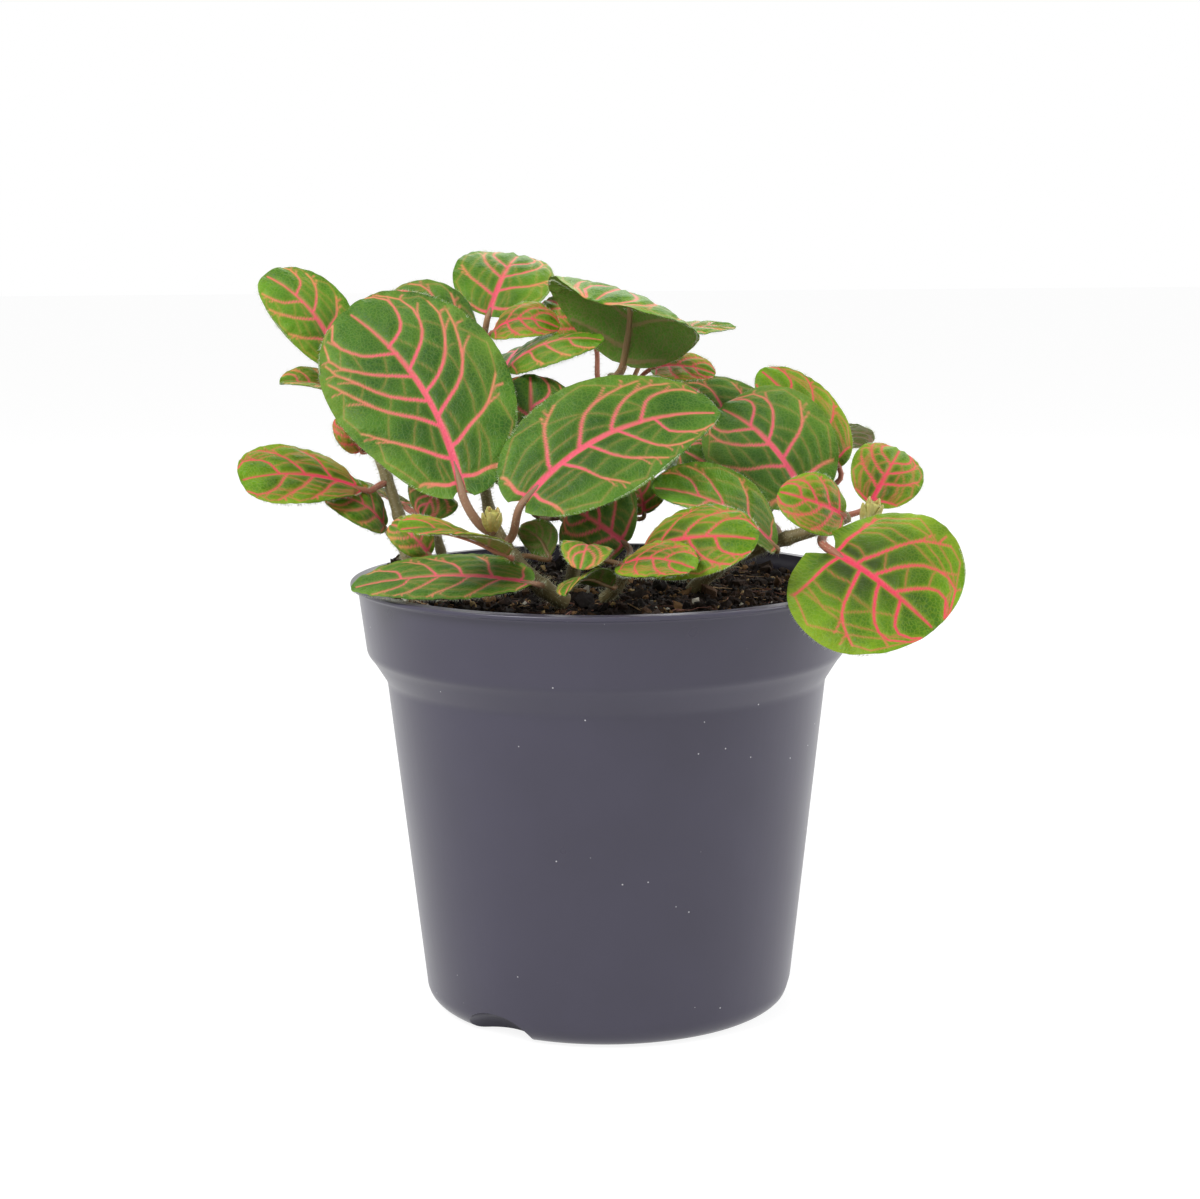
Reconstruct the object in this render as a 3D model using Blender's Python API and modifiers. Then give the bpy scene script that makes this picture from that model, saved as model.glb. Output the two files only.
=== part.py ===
"""Potted nerve plant: a nursery pot, its soil, stems, buds and the leaves of a bushy young plant.

World frame: metres, +Z up, the pot standing on z = 0 with its axis on the origin, -Y the front.
The numbers below are millimetres.
"""

import math

import bmesh
import bpy
import numpy as np
from mathutils import Matrix, Vector

MM = 0.001

# Pot
POT_HEIGHT = 89.0
RIM_RADIUS = 52.5
LIP_HEIGHT = 1.1
LIP_OVERHANG = 1.5
COLLAR_FOOT = (49.3, 74.4)
BODY_TOP = (45.3, 68.5)
BODY_FOOT_RADIUS = 38.2
CORNER_RADIUS = 4.8
WALL = 1.0
FLOOR = 1.2
TURN_STEPS = 48
# Drain notches round the foot, as angles from +X
NOTCH_ANGLES = (232.5, 352.5, 112.5)
NOTCH_SIZE = (8.0, 8.5, 5.2)
NOTCH_RADIUS = 38.5
DRAIN_RADIUS = 1.5
DRAIN_HEIGHT = 3.0

# Soil
SOIL_LEVEL = 85.4
SOIL_FLOOR = 7.6
SOIL_GAP = 0.4
SOIL_RINGS = (49.1, 45.0, 38.0, 29.0, 20.0, 10.0)
SOIL_STEPS = 28

# Shoots
JOIN_GAP = 0.35
PETIOLE_RADIUS = 0.8
BLADE_HALF_THICKNESS = 0.4
TIP_HALF_THICKNESS = 0.25
LEAST_REACH = 0.25
STEM_POINTS = 9
STEM_TAPER = 0.75

# name: (radius, points from the soil upward)
STEMS = {
    "stem_left": (1.3, [(-40, -6, 90), (-42, -4, 102), (-46, 1, 113), (-51, 4, 127)]),
    "stem_left_low": (0.9, [(-36, -16, 88), (-40, -11, 94), (-43, -7, 100)]),
    "stem_left_back": (1.0, [(-33, 4, 90), (-36, 7, 105), (-34, 8, 122)]),
    "stem_front": (1.8, [(-9, -24, 88), (-16, -26, 94), (-22, -25, 103)]),
    "stem_centre": (1.5, [(-7, 2, 88), (-4, 5, 104), (-1, 9, 119), (2, 12, 130)]),
    "stem_back_left": (1.3, [(-22, 20, 88), (-26, 22, 107), (-28, 20, 124), (-28, 14, 136)]),
    "stem_right": (1.6, [(19, -5, 88), (31, -9, 96), (42, -13, 100), (49, -14, 103)]),
    "stem_back_right": (1.3, [(16, 22, 88), (25, 24, 100), (33, 19, 112)]),
    "stem_low_centre": (1.3, [(0, -22, 88), (3, -25, 92), (5, -26, 97)]),
}

# What a leaf has unless its own line says otherwise. face is the way its upper side looks, bow lifts
# the midrib, sweep bends it to the right, twist turns the blade from base to tip, fold and curl set
# the section's angle at the midrib and its change by the margin, rise and fall shape the outline,
# and lobe draws the base's corners back past the stalk.
USUAL_LEAF = {
    "face": (0, -0.7, 0.7),
    "bow": 3,
    "sweep": 0,
    "twist": 0,
    "fold": 5,
    "curl": -15,
    "rise": 0.5,
    "fall": 0.55,
    "lobe": 0,
}

# name: (colour, stem, place along the stem, base of the blade, its tip, its width, what differs)
LEAVES = {
    "front_big": (
        "dark", "stem_front", 0.95, (-28, -27, 110), (-52, -4, 144), 36,
        dict(face=(0.15, -0.9, 0.45), bow=2, sweep=4, fold=4, curl=-12, fall=0.42, lobe=2),
    ),
    "right_big": (
        "dark", "stem_front", 0.8, (-16, -30, 108), (23, -17, 124), 28,
        dict(face=(-0.2, -0.8, 0.55), bow=2, sweep=-5, fold=4, curl=-10, rise=0.48, fall=0.7, lobe=2),
    ),
    "top_left": (
        "green", "stem_left", 0.95, (-54, 4, 132), (-70, 10, 151), 16,
        dict(face=(0.3, -0.8, 0.5), sweep=1.5, rise=0.45, fall=0.45),
    ),
    "back_dark_top": (
        "dark", "stem_left_back", 0.95, (-31, 7, 131), (-45, 9, 146), 20,
        dict(face=(0.1, -0.8, 0.5), sweep=2),
    ),
    "top_mid": (
        "green", "stem_back_left", 0.97, (-24, 12, 142), (-18, 29, 154), 21,
        dict(face=(0, -0.7, 0.6), rise=0.4, fall=0.4),
    ),
    "mid_top_small": (
        "bright", "stem_back_left", 0.92, (-23, 6, 139), (-9, 2, 140), 12,
        dict(face=(0, -0.6, 0.8)),
    ),
    "crest": (
        "green", "stem_centre", 0.97, (4, 8, 132), (-2, -12, 146), 36,
        dict(face=(0.45, 0.35, 0.85), bow=9, fold=0, curl=-20),
    ),
    "behind_crest": (
        "bright", "stem_centre", 0.93, (-2, 15, 136), (-12, 22, 145), 13,
        dict(face=(0, -0.7, 0.6)),
    ),
    "young_folded": (
        "green", "stem_back_left", 0.8, (-20, 0, 132), (0, -6, 138), 12,
        dict(face=(0, -0.5, 0.9), fold=-15),
    ),
    "right_edge_on": (
        "green", "stem_centre", 0.9, (12, 18, 137), (28, 24, 139), 10,
        dict(face=(0, -0.2, 1), bow=1),
    ),
    "pale_right": (
        "bright", "stem_centre", 0.85, (10, 10, 131), (23, 6, 130), 10,
        dict(face=(0, -0.5, 0.8), bow=1.5),
    ),
    "left_small": (
        "green", "stem_left", 0.85, (-55, 8, 127), (-67, 6, 129), 8,
        dict(face=(0, -0.5, 0.9), fold=30, bow=1),
    ),
    "left_low": (
        "bright", "stem_left", 0.5, (-49, -6, 108), (-73, -14, 111), 18,
        dict(face=(0, -0.6, 0.8), rise=0.7, fall=0.4, sweep=1, bow=2),
    ),
    "left_pink": (
        "green", "stem_left_low", 0.9, (-45, -4, 100), (-57, -8, 107), 12,
        dict(face=(0, -0.6, 0.8)),
    ),
    "soil_left": (
        "dark", "stem_front", 0.3, (-14, -36, 93), (-50, -27, 91), 16,
        dict(face=(0, -0.45, 0.9), sweep=2, bow=1),
    ),
    "front_bright": (
        "bright", "stem_front", 0.65, (-19, -33, 98), (-39, -46, 105), 12,
        dict(face=(0.1, -0.1, 1), twist=40, fold=15, bow=2),
    ),
    "right_round": (
        "dark", "stem_right", 0.75, (40, -6, 107), (24, 6, 123), 27,
        dict(face=(0.1, -0.85, 0.5), sweep=1, lobe=3, rise=0.4, fall=0.45),
    ),
    "right_hanging": (
        "bright", "stem_right", 0.85, (44, -30, 98), (62, -46, 85), 36,
        dict(face=(0.1, -0.85, 0.5), lobe=4, rise=0.4, fall=0.45, bow=2),
    ),
    "right_tip_upper": (
        "bright", "stem_right", 0.97, (53, -13, 105), (60, -4, 115), 15,
        dict(face=(0.1, -0.85, 0.5), rise=0.45, fall=0.4, bow=2),
    ),
    "right_tip_lower": (
        "bright", "stem_right", 0.9, (47, -21, 104), (34, -23, 109), 13,
        dict(face=(0, -0.8, 0.5), sweep=-1, lobe=1),
    ),
    "back_right_bright": (
        "bright", "stem_back_right", 0.9, (49, 10, 110), (33, 20, 130), 16,
        dict(face=(0.2, -0.85, 0.5), sweep=1, bow=1),
    ),
    "back_right_dark": (
        "dark", "stem_back_right", 0.97, (36, 15, 117), (13, 18, 124), 18,
        dict(face=(0, -0.75, 0.6), bow=2),
    ),
    "centre_curl": (
        "green", "stem_right", 0.5, (34, -17, 97), (9, -24, 110), 17,
        dict(face=(0, -0.6, 0.8), curl=25, sweep=1),
    ),
    "centre_front": (
        "bright", "stem_low_centre", 0.95, (7, -30, 98), (29, -42, 102), 18,
        dict(face=(0, -0.75, 0.65), rise=0.45, fall=0.5, curl=-30),
    ),
    "centre_pale": (
        "bright", "stem_low_centre", 0.7, (3, -33, 96), (17, -46, 97), 12,
        dict(face=(0, -0.6, 0.8), bow=2),
    ),
    "centre_under": (
        "green", "stem_low_centre", 0.4, (1, -28, 91), (-8, -38, 91), 10,
        dict(face=(0.3, 0.7, 0.6), curl=-10),
    ),
    "tiny_folded": (
        "green", "stem_low_centre", 0.8, (-3, -28, 98), (-5, -38, 96), 10,
        dict(face=(0, -0.7, 0.7), fall=0.45),
    ),
    "dark_hood": (
        "dark", "stem_low_centre", 0.9, (4, -18, 98), (-7, -15, 105), 20,
        dict(face=(0, -0.9, 0.3)),
    ),
    "olive": (
        "green", "stem_front", 0.6, (-11, -21, 96), (-17, -20, 102), 8,
        dict(face=(0.2, 0.9, 0.3)),
    ),
    "dark_between": (
        "dark", "stem_centre", 0.3, (-15, -13, 107), (-15, -3, 131), 23,
        dict(face=(0.1, -0.9, 0.4)),
    ),
    "dark_small_left": (
        "dark", "stem_left_low", 0.95, (-33, -8, 108), (-37, -12, 103), 11,
        dict(face=(0, -0.9, 0.4)),
    ),
    "dark_right_mid": (
        "dark", "stem_right", 0.55, (33, 0, 101), (16, 0, 115), 22,
        dict(face=(0, -0.8, 0.5)),
    ),
    "left_young": (
        "bright", "stem_left", 0.7, (-50, 2, 115), (-55, 2, 122), 7,
        dict(face=(0, -0.8, 0.5)),
    ),
    "hidden_red": (
        "green", "stem_left_back", 0.6, (-40, 9, 113), (-44, 13, 121), 11,
        dict(face=(0, -0.8, 0.5)),
    ),
    "left_grey": (
        "green", "stem_left_low", 0.5, (-35, -17, 96), (-43, -14, 102), 8,
        dict(face=(0, -0.8, 0.5)),
    ),
    "pale_under": (
        "bright", "stem_centre", 0.2, (-8, -9, 101), (-2, -5, 108), 10,
        dict(face=(0.3, 0.9, 0.2)),
    ),
    "small_mid": (
        "green", "stem_centre", 0.35, (8, -2, 102), (6, -1, 110), 10,
        dict(face=(0, -0.8, 0.5)),
    ),
    "back_a": (
        "green", "stem_back_left", 0.75, (-32, 28, 120), (-50, 42, 126), 24,
        dict(face=(-0.2, 0.6, 0.8)),
    ),
    "back_b": (
        "dark", "stem_back_left", 0.85, (-22, 28, 128), (-12, 48, 134), 26,
        dict(face=(0, 0.6, 0.8)),
    ),
    "back_c": (
        "dark", "stem_back_left", 0.45, (-30, 30, 104), (-44, 49, 104), 25,
        dict(face=(-0.2, 0.6, 0.8)),
    ),
    "back_d": (
        "green", "stem_back_left", 0.5, (-16, 30, 110), (-6, 54, 112), 27,
        dict(face=(0, 0.6, 0.8)),
    ),
    "back_e": (
        "dark", "stem_back_right", 0.6, (22, 31, 106), (26, 54, 108), 27,
        dict(face=(0.1, 0.6, 0.8)),
    ),
    "back_f": (
        "bright", "stem_back_right", 0.8, (38, 26, 110), (58, 37, 112), 24,
        dict(face=(0.3, 0.5, 0.8)),
    ),
    "back_g": (
        "bright", "stem_left_back", 0.4, (-42, 14, 102), (-61, 27, 104), 22,
        dict(face=(-0.3, 0.5, 0.8)),
    ),
    "back_h": (
        "green", "stem_centre", 0.75, (4, 20, 122), (12, 43, 126), 26,
        dict(face=(0.1, 0.6, 0.8)),
    ),
}

# name: (foot, direction, height, radius)
BUDS = {
    "bud_front": ((-22, -31, 102.8), (0.05, -0.35, 1), 5.5, 2.3),
    "bud_right": ((52, -19, 101.5), (0.2, -0.3, 1), 7.0, 2.6),
}

# name: (sRGB colour, roughness, metallic)
COLOURS = {
    "pot_plastic": ((84, 82, 94), 0.38, 0.0),
    "potting_soil": ((38, 30, 26), 0.95, 0.0),
    "leaf_dark": ((45, 92, 52), 0.5, 0.0),
    "leaf_green": ((68, 118, 52), 0.5, 0.0),
    "leaf_bright": ((104, 154, 50), 0.5, 0.0),
    "stem_brown": ((112, 92, 74), 0.7, 0.0),
    "bud_green": ((176, 184, 104), 0.6, 0.0),
}

# A leaf's section, from its left margin over the top to its right margin and back underneath:
# how far across each point is, and how high, as shares of the half width and half thickness.
SECTION_ACROSS = np.array([-1, -0.7, 0, 0.7, 1, 0.7, 0, -0.7])
SECTION_HEIGHT = np.array([0, 0.7, 1, 0.7, 0, -0.7, -1, -0.7])
BLADE_STATIONS = np.array([0.03, 0.12, 0.28, 0.46, 0.64, 0.8, 0.93, 0.99])
PETIOLE_STATIONS = np.array([0, 0.25, 0.5, 0.75])


def clear_scene():
    for obj in list(bpy.data.objects):
        bpy.data.objects.remove(obj, do_unlink=True)


def new_collection(name):
    collection = bpy.data.collections.new(name)
    bpy.context.scene.collection.children.link(collection)
    return collection


def linear(channel):
    """One sRGB channel, 0 to 255, as the linear value that a shader takes."""
    value = channel / 255
    return value / 12.92 if value <= 0.04045 else ((value + 0.055) / 1.055) ** 2.4


def new_material(name):
    colour, roughness, metallic = COLOURS[name]
    material = bpy.data.materials.new(name)
    material.use_nodes = True
    shader = material.node_tree.nodes["Principled BSDF"]
    shader.inputs["Base Color"].default_value = (*map(linear, colour), 1)
    shader.inputs["Roughness"].default_value = roughness
    shader.inputs["Metallic"].default_value = metallic
    return material


def add_object(name, data, collection, material=None):
    obj = bpy.data.objects.new(name, data)
    collection.objects.link(obj)
    if material is not None:
        data.materials.append(material)
    return obj


def make_cutter(obj):
    obj.hide_render = True
    obj.display_type = "WIRE"


# --- Pot


def arc(centre, radius, start, end, steps):
    """Points on an arc in the profile's plane, angles in degrees from +X."""
    angles = np.radians(np.linspace(start, end, steps + 1))
    return [(centre[0] + radius * math.cos(a), centre[1] + radius * math.sin(a)) for a in angles]


def pot_outside():
    """The pot's outer profile, (radius, height), from the axis over the rim and down to the floor."""
    lip_foot = POT_HEIGHT - LIP_HEIGHT
    collar_radius = RIM_RADIUS - LIP_OVERHANG
    corner = (BODY_FOOT_RADIUS - CORNER_RADIUS, CORNER_RADIUS)
    return [
        (0, POT_HEIGHT),
        (RIM_RADIUS - 0.35, POT_HEIGHT),
        (RIM_RADIUS, POT_HEIGHT - 0.35),
        (RIM_RADIUS, lip_foot + 0.25),
        (collar_radius, lip_foot),
        COLLAR_FOOT,
        (COLLAR_FOOT[0] - 0.5, COLLAR_FOOT[1] - 1.0),
        (BODY_TOP[0] + 0.7, BODY_TOP[1] + 1.2),
        BODY_TOP,
        *arc(corner, CORNER_RADIUS, 0, -90, 5),
        (0, 0),
    ]


def pot_inside():
    """The hollow's profile, from the axis above the rim down the inside of the wall to the floor."""
    collar_radius = RIM_RADIUS - LIP_OVERHANG - WALL
    corner = (BODY_FOOT_RADIUS - CORNER_RADIUS, CORNER_RADIUS + 0.2)
    return [
        (0, POT_HEIGHT + 2),
        (collar_radius, POT_HEIGHT + 2),
        (collar_radius, POT_HEIGHT - LIP_HEIGHT),
        (COLLAR_FOOT[0] - WALL, COLLAR_FOOT[1] + 0.3),
        (BODY_TOP[0] - WALL, BODY_TOP[1] + 0.3),
        *arc(corner, CORNER_RADIUS - WALL, 0, -90, 4),
        (0, FLOOR),
    ]


def turned(name, profile, collection, material=None, steps=TURN_STEPS):
    """An object whose Screw modifier turns a profile of (radius, height) points round Z."""
    points = [(radius * MM, 0, height * MM) for radius, height in profile]
    edges = [(i, i + 1) for i in range(len(points) - 1)]
    mesh = bpy.data.meshes.new(name)
    mesh.from_pydata(points, edges, [])
    obj = add_object(name, mesh, collection, material)
    screw = obj.modifiers.new("Turn", "SCREW")
    screw.steps = steps
    screw.render_steps = steps
    screw.use_merge_vertices = True
    screw.merge_threshold = 0.0001
    screw.use_smooth_shade = True
    return obj


def notch_cutters(name, grow, collection):
    """One mesh of three flattened spheres round the pot's foot, each this much larger all round."""
    cutter = bmesh.new()
    size = [(side + grow) * MM for side in NOTCH_SIZE]
    for angle in NOTCH_ANGLES:
        place = (
            Matrix.Rotation(math.radians(angle), 4, "Z")
            @ Matrix.Translation((NOTCH_RADIUS * MM, 0, 0))
            @ Matrix.Diagonal((*size, 1))
        )
        bmesh.ops.create_uvsphere(cutter, u_segments=20, v_segments=12, radius=1, matrix=place)
    mesh = bpy.data.meshes.new(name)
    cutter.to_mesh(mesh)
    cutter.free()
    obj = add_object(name, mesh, collection)
    make_cutter(obj)
    return obj


def drain_cutters(name, collection):
    """Three short rods that open the back of each notch into the pot."""
    cutter = bmesh.new()
    inner = NOTCH_RADIUS - NOTCH_SIZE[0]
    for angle in NOTCH_ANGLES:
        place = (
            Matrix.Rotation(math.radians(angle), 4, "Z")
            @ Matrix.Translation((inner * MM, 0, DRAIN_HEIGHT * MM))
            @ Matrix.Rotation(math.radians(90), 4, "Y")
        )
        bmesh.ops.create_cone(
            cutter,
            cap_ends=True,
            segments=12,
            radius1=DRAIN_RADIUS * MM,
            radius2=DRAIN_RADIUS * MM,
            depth=7 * MM,
            matrix=place,
        )
    mesh = bpy.data.meshes.new(name)
    cutter.to_mesh(mesh)
    cutter.free()
    obj = add_object(name, mesh, collection)
    make_cutter(obj)
    return obj


def cut(obj, name, cutter):
    boolean = obj.modifiers.new(name, "BOOLEAN")
    boolean.operation = "DIFFERENCE"
    boolean.solver = "EXACT"
    boolean.object = cutter


def make_pot(parts, cutters, material):
    pot = turned("pot", pot_outside(), parts, material)
    hollow = turned("cut_hollow", pot_inside(), cutters)
    make_cutter(hollow)
    cut(hollow, "Keep notch walls", notch_cutters("cut_notch_walls", WALL, cutters))
    cut(pot, "Notches", notch_cutters("cut_notches", 0, cutters))
    cut(pot, "Hollow", hollow)
    cut(pot, "Drains", drain_cutters("cut_drains", cutters))


# --- Soil


def soil_height(x, y):
    """The soil's top: a low dome, a few slow waves and a mound by the left of the rim."""
    radius = np.hypot(x, y)
    dome = 1.2 * (1 - (radius / 49) ** 2)
    waves = 0.35 * np.sin(0.33 * x + 1.0) * np.cos(0.27 * y)
    mound = 5.2 * np.exp(-((x + 40) ** 2 + (y - 5) ** 2) / 50)
    return SOIL_LEVEL + dome + waves + mound


def pot_inner_radius(height):
    """The radius of the inside of the pot's wall at this height."""
    profile = sorted((h, r) for r, h in pot_inside()[2:-1])
    return float(np.interp(height, [h for h, r in profile], [r for h, r in profile]))


def make_soil(parts, material):
    """A loft of rings: out along the bottom, up the wall, then in over the uneven top."""
    angles = np.radians(np.arange(SOIL_STEPS) * 360 / SOIL_STEPS)
    across, along = np.cos(angles), np.sin(angles)
    rings = []
    for height in (SOIL_FLOOR, BODY_TOP[1], COLLAR_FOOT[1]):
        radius = pot_inner_radius(height) - SOIL_GAP
        rings.append(np.stack([radius * across, radius * along, np.full(SOIL_STEPS, height)], axis=1))
    for radius in SOIL_RINGS:
        x, y = radius * across, radius * along
        rings.append(np.stack([x, y, soil_height(x, y)], axis=1))
    middle = np.array([[0, 0, float(soil_height(0.0, 0.0))]])
    points = np.concatenate([*rings, middle])
    count = SOIL_STEPS
    faces = ring_faces(len(rings), count)
    faces.append(list(range(count))[::-1])
    last = (len(rings) - 1) * count
    faces += [[last + k, last + (k + 1) % count, len(points) - 1] for k in range(count)]
    mesh = bpy.data.meshes.new("soil")
    mesh.from_pydata((points * MM).tolist(), [], faces)
    mesh.shade_smooth()
    add_object("soil", mesh, parts, material)


def ring_faces(rings, count):
    """Quads between rings of points that run anticlockwise as seen along the loft's way back."""
    faces = []
    for ring in range(rings - 1):
        low, high = ring * count, (ring + 1) * count
        for k in range(count):
            after = (k + 1) % count
            faces.append([low + k, low + after, high + after, high + k])
    return faces


# --- Stems


def unit(vectors):
    vectors = np.asarray(vectors, float)
    return vectors / np.linalg.norm(vectors, axis=-1, keepdims=True)


def smooth_path(points, along):
    """Points at these shares of a path: the polynomial through its points over their distance."""
    points = np.asarray(points, float)
    steps = np.linalg.norm(np.diff(points, axis=0), axis=1)
    where = np.concatenate([[0], np.cumsum(steps)]) / steps.sum()
    fit = np.polyfit(where, points, len(points) - 1)
    return np.stack([np.polyval(fit[:, axis], along) for axis in range(3)], axis=1)


def make_stem(name, parts, material):
    radius, points = STEMS[name]
    path = smooth_path(points, np.linspace(0, 1, STEM_POINTS))
    curve = bpy.data.curves.new(name, "CURVE")
    curve.dimensions = "3D"
    curve.bevel_depth = radius * MM
    curve.bevel_resolution = 2
    curve.use_fill_caps = True
    spline = curve.splines.new("POLY")
    spline.points.add(STEM_POINTS - 1)
    for point, place, share in zip(spline.points, path, np.linspace(1, STEM_TAPER, STEM_POINTS)):
        point.co = (*(place * MM), 1)
        point.radius = share
    add_object(name, curve, parts, material)


# --- Leaves


def outline(s, rise, fall):
    """Half the blade's width at each share s of its length, as a share of its widest."""
    peak = rise / (rise + fall)
    return s**rise * (1 - s) ** fall / (peak**rise * (1 - peak) ** fall)


def blade_frames(leaf, s):
    """Points on the midrib at shares s of its length, with the ways ahead, right and up there."""
    base, tip = np.array(leaf["base"], float), np.array(leaf["tip"], float)
    chord = unit(tip - base)
    face = np.array(leaf["face"], float)
    up = unit(face - (face @ chord) * chord)
    side = np.cross(chord, up)

    def midrib(s):
        arch = (4 * s * (1 - s))[:, None]
        return base + np.outer(s, tip - base) + arch * (leaf["bow"] * up + leaf["sweep"] * side)

    ahead = unit(midrib(s + 0.001) - midrib(s - 0.001))
    right = unit(side - (ahead @ side)[:, None] * ahead)
    above = np.cross(right, ahead)
    turn = np.radians(leaf["twist"]) * (s - 0.5)[:, None]
    return (
        midrib(s),
        ahead,
        right * np.cos(turn) + above * np.sin(turn),
        above * np.cos(turn) - right * np.sin(turn),
    )


def blade_rings(leaf):
    """Closed sections of the blade. Each bends along an arc away from the midrib, and is thin."""
    s = BLADE_STATIONS
    centre, ahead, right, above = blade_frames(leaf, s)
    half = leaf["width"] / 2
    reach = np.maximum(half * outline(s, leaf["rise"], leaf["fall"]), LEAST_REACH)[:, None]
    reach = reach * np.abs(SECTION_ACROSS)
    fold, rate = math.radians(leaf["fold"]), math.radians(leaf["curl"]) / half
    sideways = (np.sin(fold + rate * reach) - math.sin(fold)) / rate * np.sign(SECTION_ACROSS)
    lift = (math.cos(fold) - np.cos(fold + rate * reach)) / rate
    thickness = np.full(len(s), BLADE_HALF_THICKNESS)
    thickness[-1] = TIP_HALF_THICKNESS
    lift = lift + thickness[:, None] * SECTION_HEIGHT
    back = leaf["lobe"] * SECTION_ACROSS**2 * ((1 - s) ** 4)[:, None]
    return (
        centre[:, None]
        + right[:, None] * sideways[..., None]
        + above[:, None] * lift[..., None]
        - ahead[:, None] * back[..., None]
    )


def petiole_rings(leaf):
    """Round sections of the stalk, on a cubic that leaves the stem squarely and meets the midrib."""
    radius, points = STEMS[leaf["stem"]]
    near = leaf["along"] + np.array([-0.01, 0, 0.01])
    before, foot, after = smooth_path(points, near)
    axis = unit(after - before)
    base = np.array(leaf["base"], float)
    out = base - foot
    out = unit(out - (out @ axis) * axis)
    start = foot + out * (radius + JOIN_GAP)
    _, ahead, right, _ = blade_frames(leaf, np.zeros(1))
    pull = 0.35 * np.linalg.norm(base - start)
    knots = np.stack([start, start + out * pull, base - ahead[0] * pull, base])

    def at(u):
        weights = np.stack([(1 - u) ** 3, 3 * u * (1 - u) ** 2, 3 * u * u * (1 - u), u**3], axis=1)
        return weights @ knots

    u = PETIOLE_STATIONS
    way = unit(at(u + 0.01) - at(u - 0.01))
    way[0] = out
    side = unit(right[0] - (way @ right[0])[:, None] * way)
    above = np.cross(side, way)
    turn = np.radians(180 - 45 * np.arange(8))
    return at(u)[:, None] + PETIOLE_RADIUS * (
        side[:, None] * np.cos(turn)[:, None] + above[:, None] * np.sin(turn)[:, None]
    )


def make_leaf(name, parts, materials):
    """Stalk and blade in one closed loft, since a round stalk and a flat blade are unlike sections."""
    colour, stem, along, base, tip, width, differs = LEAVES[name]
    leaf = dict(USUAL_LEAF, stem=stem, along=along, base=base, tip=tip, width=width)
    leaf.update(differs)
    rings = np.concatenate([petiole_rings(leaf), blade_rings(leaf)])
    count = rings.shape[1]
    points = (rings.reshape(-1, 3) - np.array(base)) * MM
    faces = ring_faces(len(rings), count)
    last = (len(rings) - 1) * count
    faces.append(list(range(count))[::-1])
    faces.append([last + k for k in range(count)])
    mesh = bpy.data.meshes.new("leaf_" + name)
    mesh.from_pydata(points.tolist(), [], faces)
    mesh.shade_smooth()
    obj = add_object("leaf_" + name, mesh, parts, materials["leaf_" + colour])
    obj.location = Vector(base) * MM


# --- Buds


def make_bud(name, parts, material):
    """A pointed egg, turned, and leant over from its foot."""
    foot, way, height, radius = BUDS[name]
    profile = [
        (0, height),
        (radius * 0.35, height * 0.9),
        (radius * 0.85, height * 0.62),
        (radius, height * 0.36),
        (radius * 0.7, height * 0.1),
        (radius * 0.3, 0),
        (0, 0),
    ]
    bud = turned(name, profile, parts, material, steps=12)
    bud.location = Vector(foot) * MM
    bud.rotation_mode = "QUATERNION"
    bud.rotation_quaternion = Vector(way).to_track_quat("Z", "Y")


def main():
    clear_scene()
    parts = new_collection("potted_nerve_plant")
    cutters = new_collection("cutters")
    materials = {name: new_material(name) for name in COLOURS}
    make_pot(parts, cutters, materials["pot_plastic"])
    make_soil(parts, materials["potting_soil"])
    for name in STEMS:
        make_stem(name, parts, materials["stem_brown"])
    for name in LEAVES:
        make_leaf(name, parts, materials)
    for name in BUDS:
        make_bud(name, parts, materials["bud_green"])


main()
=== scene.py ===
# %% [markdown]
# # Potted nerve plant
# A young Fittonia, a house plant grown for its veins, in the thin plastic pot it is raised in. The
# plant is a handful of hairy stems, each carrying leaves on short stalks. Every leaf is the same
# kind of surface with other numbers, so the lesson is mostly one leaf, described once and grown
# many times. Lengths in this script are millimetres until a mesh is made.

import math

import bmesh
import bpy
import numpy as np
from mathutils import Matrix, Vector


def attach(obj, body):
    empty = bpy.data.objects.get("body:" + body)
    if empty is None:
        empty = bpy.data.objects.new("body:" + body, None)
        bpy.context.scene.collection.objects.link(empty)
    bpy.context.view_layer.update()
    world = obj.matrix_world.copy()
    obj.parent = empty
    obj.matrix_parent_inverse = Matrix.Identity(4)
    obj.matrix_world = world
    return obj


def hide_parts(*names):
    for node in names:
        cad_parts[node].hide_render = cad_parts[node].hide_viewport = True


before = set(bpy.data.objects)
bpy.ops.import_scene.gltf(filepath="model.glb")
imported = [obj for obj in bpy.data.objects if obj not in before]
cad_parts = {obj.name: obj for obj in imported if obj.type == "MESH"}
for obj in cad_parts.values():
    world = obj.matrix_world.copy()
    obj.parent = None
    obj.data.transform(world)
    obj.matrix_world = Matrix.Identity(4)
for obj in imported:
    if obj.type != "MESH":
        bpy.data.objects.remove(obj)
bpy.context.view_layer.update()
MM = 0.001

# %% [markdown]
# ## Small tools
# Blender's shaders work in linear light, while colours are usually written as sRGB hex, so one
# function converts them. One more adds a shader node, sets it and links it. The last two turn
# arrays of points into a mesh: a tube-like surface is a list of closed rings, and quads join each
# ring to the next.

# %% Colours and nodes
def linear(hex_colour):
    """sRGB hex to linear RGBA: each channel over 255, then the sRGB curve undone."""
    values = [int(hex_colour[i : i + 2], 16) / 255 for i in (0, 2, 4)]
    return (*[v / 12.92 if v <= 0.04045 else ((v + 0.055) / 1.055) ** 2.4 for v in values], 1)


def add(tree, kind, links=None, **settings):
    """Adds a node. settings are its properties, links maps an input to a value or a socket."""
    node = tree.nodes.new(kind)
    for name, value in settings.items():
        setattr(node, name, value)
    for name, value in (links or {}).items():
        if isinstance(value, bpy.types.NodeSocket):
            tree.links.new(value, node.inputs[name])
        else:
            node.inputs[name].default_value = value
    return node


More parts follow.
